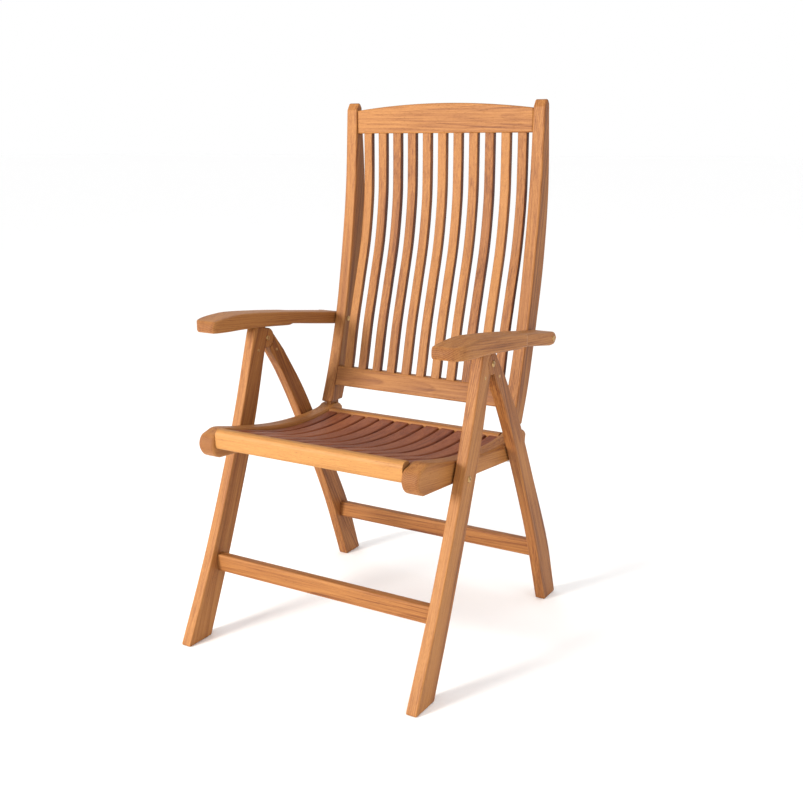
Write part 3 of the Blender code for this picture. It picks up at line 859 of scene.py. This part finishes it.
@dataclass
class RearLegs(LegFrame):
    """The rear pair of legs, which turn on the heads of the front pair, and their stretcher."""

    front: Outline = drawn(
        (0.3088, 0.0), (0.2368, 0.1850), (0.1363, 0.3900), (0.0748, 0.5000), (0.0333, 0.5600))
    back: Outline = drawn(
        (0.3663, 0.0), (0.3148, 0.1400), (0.2318, 0.3000), (0.1503, 0.4500), (0.0768, 0.5580))
    hinge: Point = (0.0213, 0.5915)
    end: str = "rear"
    outward: int = -1
    leg_tone: float = 0.10
    stretcher_tone: float = 0.12

    def head(self) -> Outline:
        """The round of the hinge."""
        return arc(self.hinge, self.head_radius, 289, 20, 36)


# ------------------------------------------------------------------------------ seat
@dataclass
class Seat:
    """The seat: two side rails with bulbous noses and slotted ears, two cross rails and twelve slats."""

    bench: Bench
    rail_top: Outline = drawn(
        (0.0195, 0.0875), (0.0445, 0.0915), (0.0995, 0.0795), (0.1955, 0.0615), (0.2655, 0.0530),
        (0.3395, 0.0495), (0.3975, 0.0515))
    ear_rise: Outline = drawn((0.4135, 0.0545), (0.4210, 0.0585))
    ear_back: Outline = drawn((0.4565, 0.0325), (0.4550, 0.0175), (0.4495, 0.0060))
    rail_bottom: Outline = drawn(
        (0.4395, 0.0), (0.3655, 0.0075), (0.2285, 0.0195), (0.1065, 0.0295), (0.0245, 0.0360))
    nose: Outline = drawn(
        (0.0245, 0.0360), (0.0115, 0.0425), (0.0033, 0.0530), (0.0, 0.0650), (0.0030, 0.0765),
        (0.0100, 0.0843), (0.0195, 0.0875))
    back_pivot: Point = (0.4355, 0.0325)
    rest_pin: Point = (0.3925, 0.0047)
    rest_run: Point = (-0.0260, -0.0170)
    rest_radius: float = 0.0056
    hook_past: float = 0.01
    ear_radius: float = 0.0270
    slot_width: float = 0.0128
    slot_front: float = 0.4185
    slot_floor: float = 0.0115
    slot_past: Point = (0.60, 0.20)
    rail_roll: float = 0.0055
    rail_corner: float = 0.0045
    fibres: Vector = toward(0, 1, -0.12)
    rail_tone: float = -0.16
    rail_heart: Point = (0.004, 0.010)
    front_tone: float = -0.48
    rear_tone: float = 0.02
    cross_heart: Point = (0.010, 0.045)
    front_rail: Outline = drawn(
        (0.0250, 0.0), (0.0250, 0.0350), (0.0190, 0.0381), (0.0085, 0.0385), (0.0025, 0.0350),
        (0.0, 0.0285), (0.0, 0.0055), (0.0030, 0.0))
    rear_rail: Outline = drawn(
        (0.0, 0.0), (0.0, 0.0300), (0.0035, 0.0335), (0.0205, 0.0335), (0.0240, 0.0300), (0.0240, 0.0))
    cross_fillet: float = 0.0060
    cross_corner: float = 0.0015
    end_roll: float = 0.0008
    slat_top: Outline = drawn(
        (0.0, 0.0608), (0.0060, 0.0602), (0.0720, 0.0452), (0.1520, 0.0252), (0.2320, 0.0147),
        (0.3020, 0.0127), (0.3720, 0.0172), (0.3780, 0.0175))
    slat_thick: float = 0.0125
    slat_roll: float = 0.0024
    slat_count: int = 12
    body: str = "seat"

    def build(self) -> None:
        """Make and dress the whole seat."""
        for side in Side:
            self._side_rail(side)
        inner = Place("seat_rail_R").low.x - CLEAR
        self._cross_rail("seat_front_rail", self.front_rail, inner, self.front_tone)
        self._cross_rail("seat_rear_rail", self.rear_rail, inner, self.rear_tone)
        for i in range(self.slat_count):
            self._slat(f"seat_slat_{i + 1:02d}")

    def _side_rail(self, side: Side) -> None:
        """Make one side rail, with its slot for the back's tongue and its hook for the rest pin.

        Args:
            side: which rail.
        """
        place = Place(f"seat_rail_{side.value}")
        ear = arc(self.back_pivot, self.ear_radius, 95, 30, 14)
        outline = smooth(self.rail_top) + self.ear_rise + ear + self.ear_back
        outline += smooth(self.rail_bottom)[:-1] + smooth(self.nose, 4)[:-1]
        rail = self.bench.sawn(f"teak_{place.node}", place.at(outline), place.low.x, place.high.x,
                               self.rail_roll, self.rail_corner)
        middle = Place(f"back_stile_{side.value}").centre_x
        (y0, z0), (y1, z1) = place.at([(self.slot_front, self.slot_floor), self.slot_past])
        slot = [(y0, z0), (y1, z0), (y1, z1), (y0, z1)]
        half = self.slot_width / 2
        self.bench.cut(rail, self.bench.prism("slot", slot, (middle - half, middle + half)))
        self.bench.cut(rail, self._hook(place))
        self.bench.dress_timber(rail, self.fibres, self.body, place.node, tone=self.rail_tone,
                                heart=self.rail_heart)

    def _hook(self, place: Place) -> bpy.types.Object:
        """The cutter of the open hook under a rail.

        Args:
            place: where the rail is.

        Returns:
            The cutter.
        """
        run = Vector(self.rest_run)
        lean = math.degrees(math.atan2(run.y, run.x))
        far = (self.rest_pin[0] + run.x, self.rest_pin[1] + run.y)
        outline = arc(self.rest_pin, self.rest_radius, lean + 270, lean + 90, 20)
        outline += arc(far, self.rest_radius, lean + 90, lean - 90, 10)
        ends = (place.low.x - self.hook_past, place.high.x + self.hook_past)
        return self.bench.prism("hook", place.at(outline), ends)

    def _cross_rail(self, node: str, section: Outline, inner: float, tone: float) -> None:
        """Make a rail between the two side rails.

        Args:
            node: the CAD node that it stands for.
            section: its section.
            inner: where it ends on either side.
            tone: its wood tone.
        """
        outline = Place(node).at(filleted(section, self.cross_fillet, 5, 15))
        rail = self.bench.sawn(f"teak_{node}", outline, -inner, inner, self.end_roll, self.cross_corner)
        self.bench.dress_timber(rail, ACROSS, self.body, node, tone=tone, heart=self.cross_heart)

    def _slat(self, node: str) -> None:
        """Make one slat.

        Args:
            node: the CAD node that it stands for.
        """
        place = Place(node)
        top = self.slat_top[:1] + smooth(self.slat_top[1:-1], 6) + self.slat_top[-1:]
        outline = place.at(top + [(y, z - self.slat_thick) for y, z in reversed(top)])
        slat = self.bench.sawn(f"teak_{node}", outline, place.low.x, place.high.x, self.slat_roll)
        self.bench.dress_timber(slat, self.fibres, self.body, node, "teak_seat")


# ------------------------------------------------------------------------------ back
@dataclass
class Back:
    """The tall back: two curved stiles with tongues, eleven slats, a bottom rail and an arched crest."""

    bench: Bench
    front: Outline = drawn(
        (-0.0008, 0.0480), (0.0307, 0.1300), (0.0657, 0.2500), (0.0912, 0.3800), (0.1130, 0.5300),
        (0.1234, 0.6940))
    back: Outline = drawn(
        (0.0477, 0.0480), (0.0787, 0.1300), (0.1107, 0.2500), (0.1397, 0.3800), (0.1542, 0.5300),
        (0.1447, 0.7000))
    top: Outline = drawn((0.1392, 0.7070), (0.1357, 0.7088), (0.1322, 0.7075))
    pivot: Point = (0.0262, 0.0150)
    tongue_root: Outline = drawn((0.0110, 0.0500), (0.0137, 0.0640), (0.0452, 0.0640), (0.0412, 0.0500))
    tongue_radius: float = 0.0150
    tongue_thick: float = 0.0120
    tongue_roll: float = 0.0008
    stile_roll: float = 0.0034
    stile_corner: float = 0.0040
    fibres: Vector = toward(0, 0.19, 1)
    stile_tone: float = -0.06
    # Painted shade: how much darker the stiles' and slats' sides that face left and right are painted.
    stile_painted_shade: float = 0.22
    slat_painted_shade: float = 0.75
    rail_tone: float = 0.02
    rail_heart: Point = (0.02, 0.05)
    crest_tone: float = -0.02
    crest_heart: Point = (0.016, 0.034)
    slat_front: Outline = drawn(
        (-0.0004, 0.0), (0.0078, 0.0320), (0.0263, 0.1100), (0.0526, 0.1990), (0.0783, 0.2880),
        (0.0933, 0.3770), (0.0968, 0.4461), (0.0973, 0.5309))
    slat_thick: float = 0.0130
    slat_roll: float = 0.0024
    slat_count: int = 11
    rail_section: Outline = drawn((-0.0007, 0.0), (0.0138, 0.0410), (0.0343, 0.0410), (0.0198, 0.0))
    rail_roll: float = 0.0030
    end_roll: float = 0.0008
    crest_roll: float = 0.0030
    crest_ends: float = 0.0492
    crest_steps: int = 40
    body: str = "back"

    def build(self) -> None:
        """Make and dress the whole back."""
        for side in Side:
            self._stile(side)
        inner = Place("back_stile_R").low.x - CLEAR
        self._bottom_rail(inner)
        self._crest(inner)
        for i in range(self.slat_count):
            self._slat(f"back_slat_{i + 1:02d}")

    def _stile(self, side: Side) -> None:
        """Make one stile and the tongue that turns in the seat's ear.

        Args:
            side: which stile.
        """
        place = Place(f"back_stile_{side.value}")
        outline = smooth(self.front) + self.top[::-1] + smooth(self.back)[::-1]
        stile = self.bench.sawn(f"teak_{place.node}", place.at(outline), place.low.x, place.high.x,
                                self.stile_roll, self.stile_corner)
        middle, half = place.centre_x, self.tongue_thick / 2
        outline = arc(self.pivot, self.tongue_radius, 0, -180, 20) + self.tongue_root
        tongue = self.bench.sawn("tongue", place.at(outline), middle - half, middle + half,
                                 self.tongue_roll, self.tongue_roll)
        self.bench.joined(stile, tongue)
        self.bench.dress_timber(stile, self.fibres, self.body, place.node, tone=self.stile_tone,
                                painted_side_shade=self.stile_painted_shade)

    def _bottom_rail(self, inner: float) -> None:
        """Make the rail under the slats.

        Args:
            inner: where it ends on either side.
        """
        place = Place("back_bottom_rail")
        section = place.at(self.rail_section)
        rail = self.bench.sawn(f"teak_{place.node}", section, -inner, inner, self.end_roll, self.rail_roll)
        self.bench.dress_timber(rail, ACROSS, self.body, place.node, tone=self.rail_tone,
                                heart=self.rail_heart)

    def _crest(self, inner: float) -> None:
        """Make the arched rail on top of the slats.

        Args:
            inner: where it ends on either side.
        """
        place = Place("back_crest")
        low, high = place.low, place.high
        rise = high.z - low.z - self.crest_ends
        shares = [1 - 2 * i / self.crest_steps for i in range(self.crest_steps + 1)]
        arch = [(inner * t, low.z + self.crest_ends + rise * (1 - t ** 2)) for t in shares]
        shape = turned_about(filleted([(-inner, low.z), (inner, low.z)] + arch, self.end_roll))
        layers = self.bench.rolled_board(low.y, high.y, self.crest_roll)
        rings = [[Vector((x, y, z)) for x, z in drawn_in(shape, inset)] for y, inset in layers]
        crest = self.bench.stacked(f"teak_{place.node}", rings)
        self.bench.dress_timber(crest, ACROSS, self.body, place.node, tone=self.crest_tone,
                                heart=self.crest_heart)

    def _slat(self, node: str) -> None:
        """Make one S-shaped slat.

        Args:
            node: the CAD node that it stands for.
        """
        place = Place(node)
        front = smooth(self.slat_front)
        outline = place.at(front + [(y + self.slat_thick, z) for y, z in reversed(front)])
        slat = self.bench.sawn(f"teak_{node}", outline, place.low.x, place.high.x, self.slat_roll)
        self.bench.dress_timber(slat, self.fibres, self.body, node, painted_side_shade=self.slat_painted_shade)


# ------------------------------------------------------------------------------ arms
@dataclass
class Arms:
    """The two arms: swept and rounded, with a groove and five notches underneath."""

    bench: Bench
    top: Outline = drawn(
        (0.0, 0.0532), (0.0012, 0.0572), (0.0045, 0.0620), (0.0124, 0.0660), (0.0684, 0.0695),
        (0.1154, 0.0680), (0.2284, 0.0554), (0.3484, 0.0392), (0.4234, 0.0290))
    bottom: Outline = drawn(
        (0.0, 0.0524), (0.0012, 0.0478), (0.0038, 0.0442), (0.0090, 0.0420), (0.0484, 0.0390),
        (0.1034, 0.0365), (0.1684, 0.0315), (0.2520, 0.0230), (0.2600, 0.0252), (0.3484, 0.0120),
        (0.4234, 0.0008))
    pivot: Point = (0.4344, 0.0140)
    end_radius: float = 0.0140
    inner_side: Outline = drawn((0.0, 0.0085), (0.0030, 0.0030), (0.0090, 0.0006), (0.0200, 0.0))
    outer_side: Outline = drawn(
        (0.0, 0.0300), (0.0040, 0.0160), (0.0130, 0.0065), (0.0260, 0.0018), (0.0430, 0.0), (0.2850, 0.0),
        (0.2960, 0.0090), (0.4500, 0.0090))
    roll: float = 0.0045
    groove: Point = (0.0384, 0.1934)
    groove_side: float = 0.0023
    groove_low: float = -0.04
    flat_hold: float = 0.25
    roof: float = 0.0377
    nib: Point = (0.1619, 0.0342)
    nib_radius: float = 0.0092
    notch_pitch: float = 0.0245
    notch_rise: float = 0.078
    notch_count: int = 5
    nose_steps: tuple[float, ...] = (0.0, 0.0003, 0.0009, 0.0018, 0.0031, 0.0048, 0.0070, 0.0098, 0.0132)
    stations: int = 64
    fibres: Vector = toward(0, 1, -0.09)
    tone: float = -0.20
    heart: Point = (0.02, 0.060)

    def build(self) -> None:
        """Make and dress both arms."""
        for side in Side:
            self._arm(side)

    def _arm(self, side: Side) -> None:
        """Make one arm, which is a body of its own.

        Args:
            side: which arm.
        """
        place = Place(f"arm_{side.value}")
        inner, outer = sorted((abs(place.low.x), abs(place.high.x)))
        rings = [self._ring(place, side, inner, outer, share) for share in self._shares(place)]
        arm = self.bench.stacked(f"teak_{place.node}", rings)
        leg = Place(f"front_leg_{side.value}")
        ends = (leg.low.x - self.groove_side, leg.high.x + self.groove_side)
        self.bench.cut(arm, self.bench.prism("groove", place.at(self._groove()), ends))
        for k in range(self.notch_count):
            back = k * self.notch_pitch
            where = place.point((self.nib[0] - back, self.nib[1] + back * self.notch_rise))
            self.bench.drill(arm, ends, self.nib_radius, where)
        self.bench.dress_timber(arm, self.fibres, place.node, place.node, tone=self.tone,
                                heart=self.heart)

    def _shares(self, place: Place) -> list[float]:
        """Depths of the sections, closer together at both ends.

        Args:
            place: where the arm is.

        Returns:
            Depths counted from the arm's front.
        """
        length = place.high.y - place.low.y
        first = self.nose_steps[-1]
        last = length - first
        between = [first + (last - first) * i / self.stations for i in range(1, self.stations)]
        return [*self.nose_steps, *between, *(length - step for step in reversed(self.nose_steps))]

    def _ring(self, place: Place, side: Side, inner: float, outer: float, depth: float) -> list[Vector]:
        """One section of an arm.

        Args:
            place: where the arm is.
            side: which arm.
            inner: its inner face.
            outer: its outer face.
            depth: how far the section lies from the front.

        Returns:
            The section's points.
        """
        high, low = along(smooth(self.top, 6), depth), along(smooth(self.bottom, 6), depth)
        past = depth - self.pivot[0]
        if past > 0:
            half = math.sqrt(max(self.end_radius ** 2 - past ** 2, 1e-7))
            high, low = min(high, self.pivot[1] + half), max(low, self.pivot[1] - half)
        x0 = inner + along(self.inner_side, depth)
        x1 = outer - along(self.outer_side, depth)
        roll = min(self.roll, (high - low) * 0.45, (x1 - x0) * 0.45)
        corners = [(x1 - roll, high - roll, 0), (x0 + roll, high - roll, 90),
                   (x0 + roll, low + roll, 180), (x1 - roll, low + roll, 270)]
        points = []
        for x, z, start in corners:
            turn = math.radians(start)
            hold = Vector((math.sin(turn), -math.cos(turn))) * roll * self.flat_hold
            turn += math.pi / 2
            after = Vector((-math.sin(turn), math.cos(turn))) * roll * self.flat_hold
            first, *_, last = rounded = arc((x, z), roll, start, start + 90, 6)
            points += [tuple(Vector(first) + hold)] + rounded + [tuple(Vector(last) + after)]
        y = place.low.y + depth
        return [Vector((side.sign * x, y, place.low.z + z)) for x, z in points]

    def _groove(self) -> Outline:
        """The groove that the leg's head runs in.

        Returns:
            Its outline, counted from the arm's front and foot.
        """
        y0, y1 = self.groove
        return [(y0, self.groove_low), (y1, self.groove_low),
                (y1, self.roof - (y1 - self.nib[0]) * self.notch_rise),
                (y0, self.roof + (self.nib[0] - y0) * self.notch_rise)]


# ------------------------------------------------------------------------------ hardware
@dataclass
class Hardware:
    """Brass bolts with slotted domes and cap nuts, washers, brass head pins and steel rest pins."""

    bench: Bench
    bolts: dict[str, str] = field(default_factory=lambda: {
        "leg_hinge_bolt": "front_frame", "seat_pivot_bolt": "front_frame", "back_pivot_bolt": "seat",
        "arm_pivot_bolt": "back"})
    washers: dict[str, str] = field(default_factory=lambda: {
        "seat_pivot_washer": "front_frame", "arm_washer": "back"})
    pins: dict[str, str] = field(default_factory=lambda: {
        "front_head_pin": "front_frame", "rear_head_pin": "rear_frame", "seat_rest_pin": "rear_frame"})
    shaft_radius: float = 0.0032
    dome_high: float = 0.0023
    dome_share: float = 0.8
    tip_radius: float = 0.0002
    nut_radius: float = 0.0058
    bore_radius: float = 0.0034
    slot_wide: float = 0.0013
    slot_deep: float = 0.0011
    slot_long: float = 0.024
    slot_past: float = 0.005
    sides: int = 40
    dome_steps: int = 7
    rim: float = 0.0003
    pin_soft: float = 0.16
    pin_end: tuple[Point, ...] = ((0.0, 0.1), (0.15, 0.6), (0.5, 0.9), (1.0, 1.0))
    crease: float = 34.0

    def build(self) -> None:
        """Make and dress every bolt, washer and pin."""
        for side in Side:
            for name, body in self.bolts.items():
                self._bolt(f"{name}_{side.value}", side, body)
            for name, body in self.washers.items():
                self._washer(f"{name}_{side.value}", body)
            for name, body in self.pins.items():
                self._pin(f"{name}_{side.value}", body)

    def _turned(self, name: str, profile: Outline, centre: Point, closed: bool = False) -> bpy.types.Object:
        """Turn (place along X, radius) pairs about a centre; a closed profile ends where it starts."""
        rings = [[Vector((x, y, z)) for y, z in circle(centre, radius, self.sides)] for x, radius in profile]
        return self.bench.stacked(name, rings + rings[:1] if closed else rings, not closed)

    def _finish(self, obj: bpy.types.Object, body: str, slot: str, node: str) -> None:
        """Dress a turned piece and hand it over.

        Args:
            obj: the piece.
            body: the body that it rides on.
            slot: the record's material slot, which names its metal too.
            node: the CAD node that it stands for.
        """
        bench = self.bench
        bench.finish(obj, bench.steel if slot == "steel" else bench.brass, self.crease)
        bench.hand_over(obj, body, slot, node)

    def _dome(self, tip: float, way: int, radius: float) -> Outline:
        """Profile of a domed head, from its tip to its rim.

        Args:
            tip: where its tip is along X.
            way: the direction in which it points along X.
            radius: its radius.

        Returns:
            (place, radius) pairs.
        """
        turns = [math.pi / 2 * k / self.dome_steps for k in range(self.dome_steps + 1)]
        curved = [(tip - way * self.dome_high * self.dome_share * (1 - math.cos(t)),
                   max(radius * math.sin(t), self.tip_radius)) for t in turns]
        return curved + [(tip - way * self.dome_high, radius)]

    def _bolt(self, node: str, side: Side, body: str) -> None:
        """Make one bolt: a slotted dome outside, a plain shaft, and a cap nut inside.

        Args:
            node: the CAD node that it stands for.
            side: the side that it is on.
            body: the body that it rides on.
        """
        place = Place(node)
        out = side.sign
        head_tip, nut_tip = (place.high.x, place.low.x) if out > 0 else (place.low.x, place.high.x)
        head = self._dome(head_tip, out, place.radius)
        shaft = [(end, self.shaft_radius) for end in
                 (head_tip - out * self.dome_high, nut_tip + out * self.dome_high)]
        nut = self._dome(nut_tip, -out, self.nut_radius)[::-1]
        obj = self._turned(f"metal_{node}", head + shaft + nut, place.middle)
        self.bench.cut(obj, self._driver(head_tip, out, place.middle))
        self._finish(obj, body, "brass", node)

    def _driver(self, tip: float, out: int, centre: Point) -> bpy.types.Object:
        """The cutter of a screwdriver slot.

        Args:
            tip: where the dome's tip is along X.
            out: the direction in which it points.
            centre: (depth, height) of the bolt's axis.

        Returns:
            The cutter.
        """
        half, reach = self.slot_wide / 2, self.slot_long / 2
        box = [(-reach, -half), (reach, -half), (reach, half), (-reach, half)]
        turn = Matrix.Rotation(self.bench.dice.uniform(0, math.pi), 2)
        spun = [turn @ Vector(p) for p in box]
        outline = [(centre[0] + p.x, centre[1] + p.y) for p in spun]
        return self.bench.prism("driver", outline, (tip - out * self.slot_deep, tip + out * self.slot_past))

    def _washer(self, node: str, body: str) -> None:
        """Make one washer with softened rims.

        Args:
            node: the CAD node that it stands for.
            body: the body that it rides on.
        """
        place = Place(node)
        x0, x1, radius = place.low.x, place.high.x, place.radius
        profile = [(x0, self.bore_radius), (x0, radius - self.rim), (x0 + self.rim, radius),
                   (x1 - self.rim, radius), (x1, radius - self.rim), (x1, self.bore_radius)]
        obj = self._turned(f"metal_{node}", profile, place.middle, True)
        self._finish(obj, body, "brass", node)

    def _pin(self, node: str, body: str) -> None:
        """Make one pin with slightly domed ends.

        Args:
            node: the CAD node that it stands for.
            body: the body that it rides on.
        """
        place = Place(node)
        x0, x1, radius = place.low.x, place.high.x, place.radius
        soft = radius * self.pin_soft
        profile = [(x0 + soft * deep, radius * share) for deep, share in self.pin_end]
        profile += [(x1 - soft * deep, radius * share) for deep, share in reversed(self.pin_end)]
        obj = self._turned(f"metal_{node}", profile, place.middle)
        self._finish(obj, body, "steel" if node.startswith("seat_rest_pin") else "brass", node)


# ------------------------------------------------------------------------------ studio
@dataclass(frozen=True)
class SoftBox:
    """One large soft lamp."""

    name: str
    place: tuple[float, float, float]
    target: tuple[float, float, float]
    size: float
    power: float
    colour: tuple[float, float, float]

    def build(self) -> None:
        """Hang the lamp and turn it to its target."""
        data = bpy.data.lights.new(self.name, "AREA")
        data.shape = "DISK"
        data.size = self.size
        data.energy = self.power
        data.color = self.colour
        lamp = placed(self.name, data)
        lamp.location = self.place
        aim = Vector(self.place) - Vector(self.target)
        lamp.rotation_euler = aim.to_track_quat("Z", "Y").to_euler()


@dataclass
class Studio:
    """White surroundings, a paper floor, soft lamps and the camera."""

    room_light: float = 1.0
    floor_half: float = 60.0
    floor_drop: float = 0.0004
    floor_cells: int = 8
    camera_place: tuple[float, float, float] = (1.1074, -1.7646, 0.9996)
    camera_turn: float = 30.704
    camera_dip: float = 13.976
    camera_roll: float = -0.152
    lens: float = 46.924
    sensor: float = 36.0
    lamps: tuple[SoftBox, ...] = (
        SoftBox("key", place=(-1.5, -3.5, 1.5), target=(0.0, 0.0, 0.55), size=1.1, power=192.0,
                colour=(1.0, 0.96, 0.90)),
        SoftBox("side", place=(2.1, -0.5, 0.5), target=(0.25, 0.1, 0.3), size=0.9, power=7.0,
                colour=(1.0, 0.96, 0.92)),
    )

    def build(self) -> None:
        """Set the studio up."""
        world = bpy.data.worlds.new("white_room")
        world.use_nodes = True
        ground = world.node_tree.nodes["Background"]
        ground.inputs["Color"].default_value = paint(1.0, 1.0, 1.0)
        ground.inputs["Strength"].default_value = self.room_light
        scene = bpy.context.scene
        scene.world = world
        scene.view_settings.view_transform = "Standard"
        for lamp in self.lamps:
            lamp.build()
        self._floor()
        self._camera()

    def _floor(self) -> None:
        """Lay the floor just under the feet."""
        bm = bmesh.new()
        place = Matrix.Translation((0, 0, CAD_BOX[0][2] - self.floor_drop))
        bmesh.ops.create_grid(bm, x_segments=self.floor_cells, y_segments=self.floor_cells,
                              size=self.floor_half, matrix=place)
        floor = meshed("floor", bm)
        floor.data.materials.append(StudioFloor().build())

    def _camera(self) -> None:
        """Set up the camera in front, to the right of and a little above the chair."""
        data = bpy.data.cameras.new("camera")
        data.sensor_width = self.sensor
        data.lens = self.lens
        camera = placed("camera", data)
        turn, dip, roll = (math.radians(a) for a in (self.camera_turn, self.camera_dip, self.camera_roll))
        level_eye = Matrix.Rotation(turn, 4, "Z") @ Matrix.Rotation(math.pi / 2 - dip, 4, "X")
        eye = level_eye @ Matrix.Rotation(roll, 4, "Z")
        camera.matrix_world = Matrix.Translation(self.camera_place) @ eye
        bpy.context.scene.camera = camera


def main() -> None:
    """Build the studio and every sub-assembly in order."""
    logging.basicConfig(level=logging.INFO, format="%(name)s: %(message)s")
    Studio().build()
    bench = Bench(OILED_TEAK.build(), SEAT_TEAK.build(), BRASS.build(), STEEL.build())
    for assembly in (FrontLegs, RearLegs, Seat, Back, Arms, Hardware):
        assembly(bench).build()
    LOG.info("%d pieces made", bench.made)


if __name__ == "__main__":
    main()
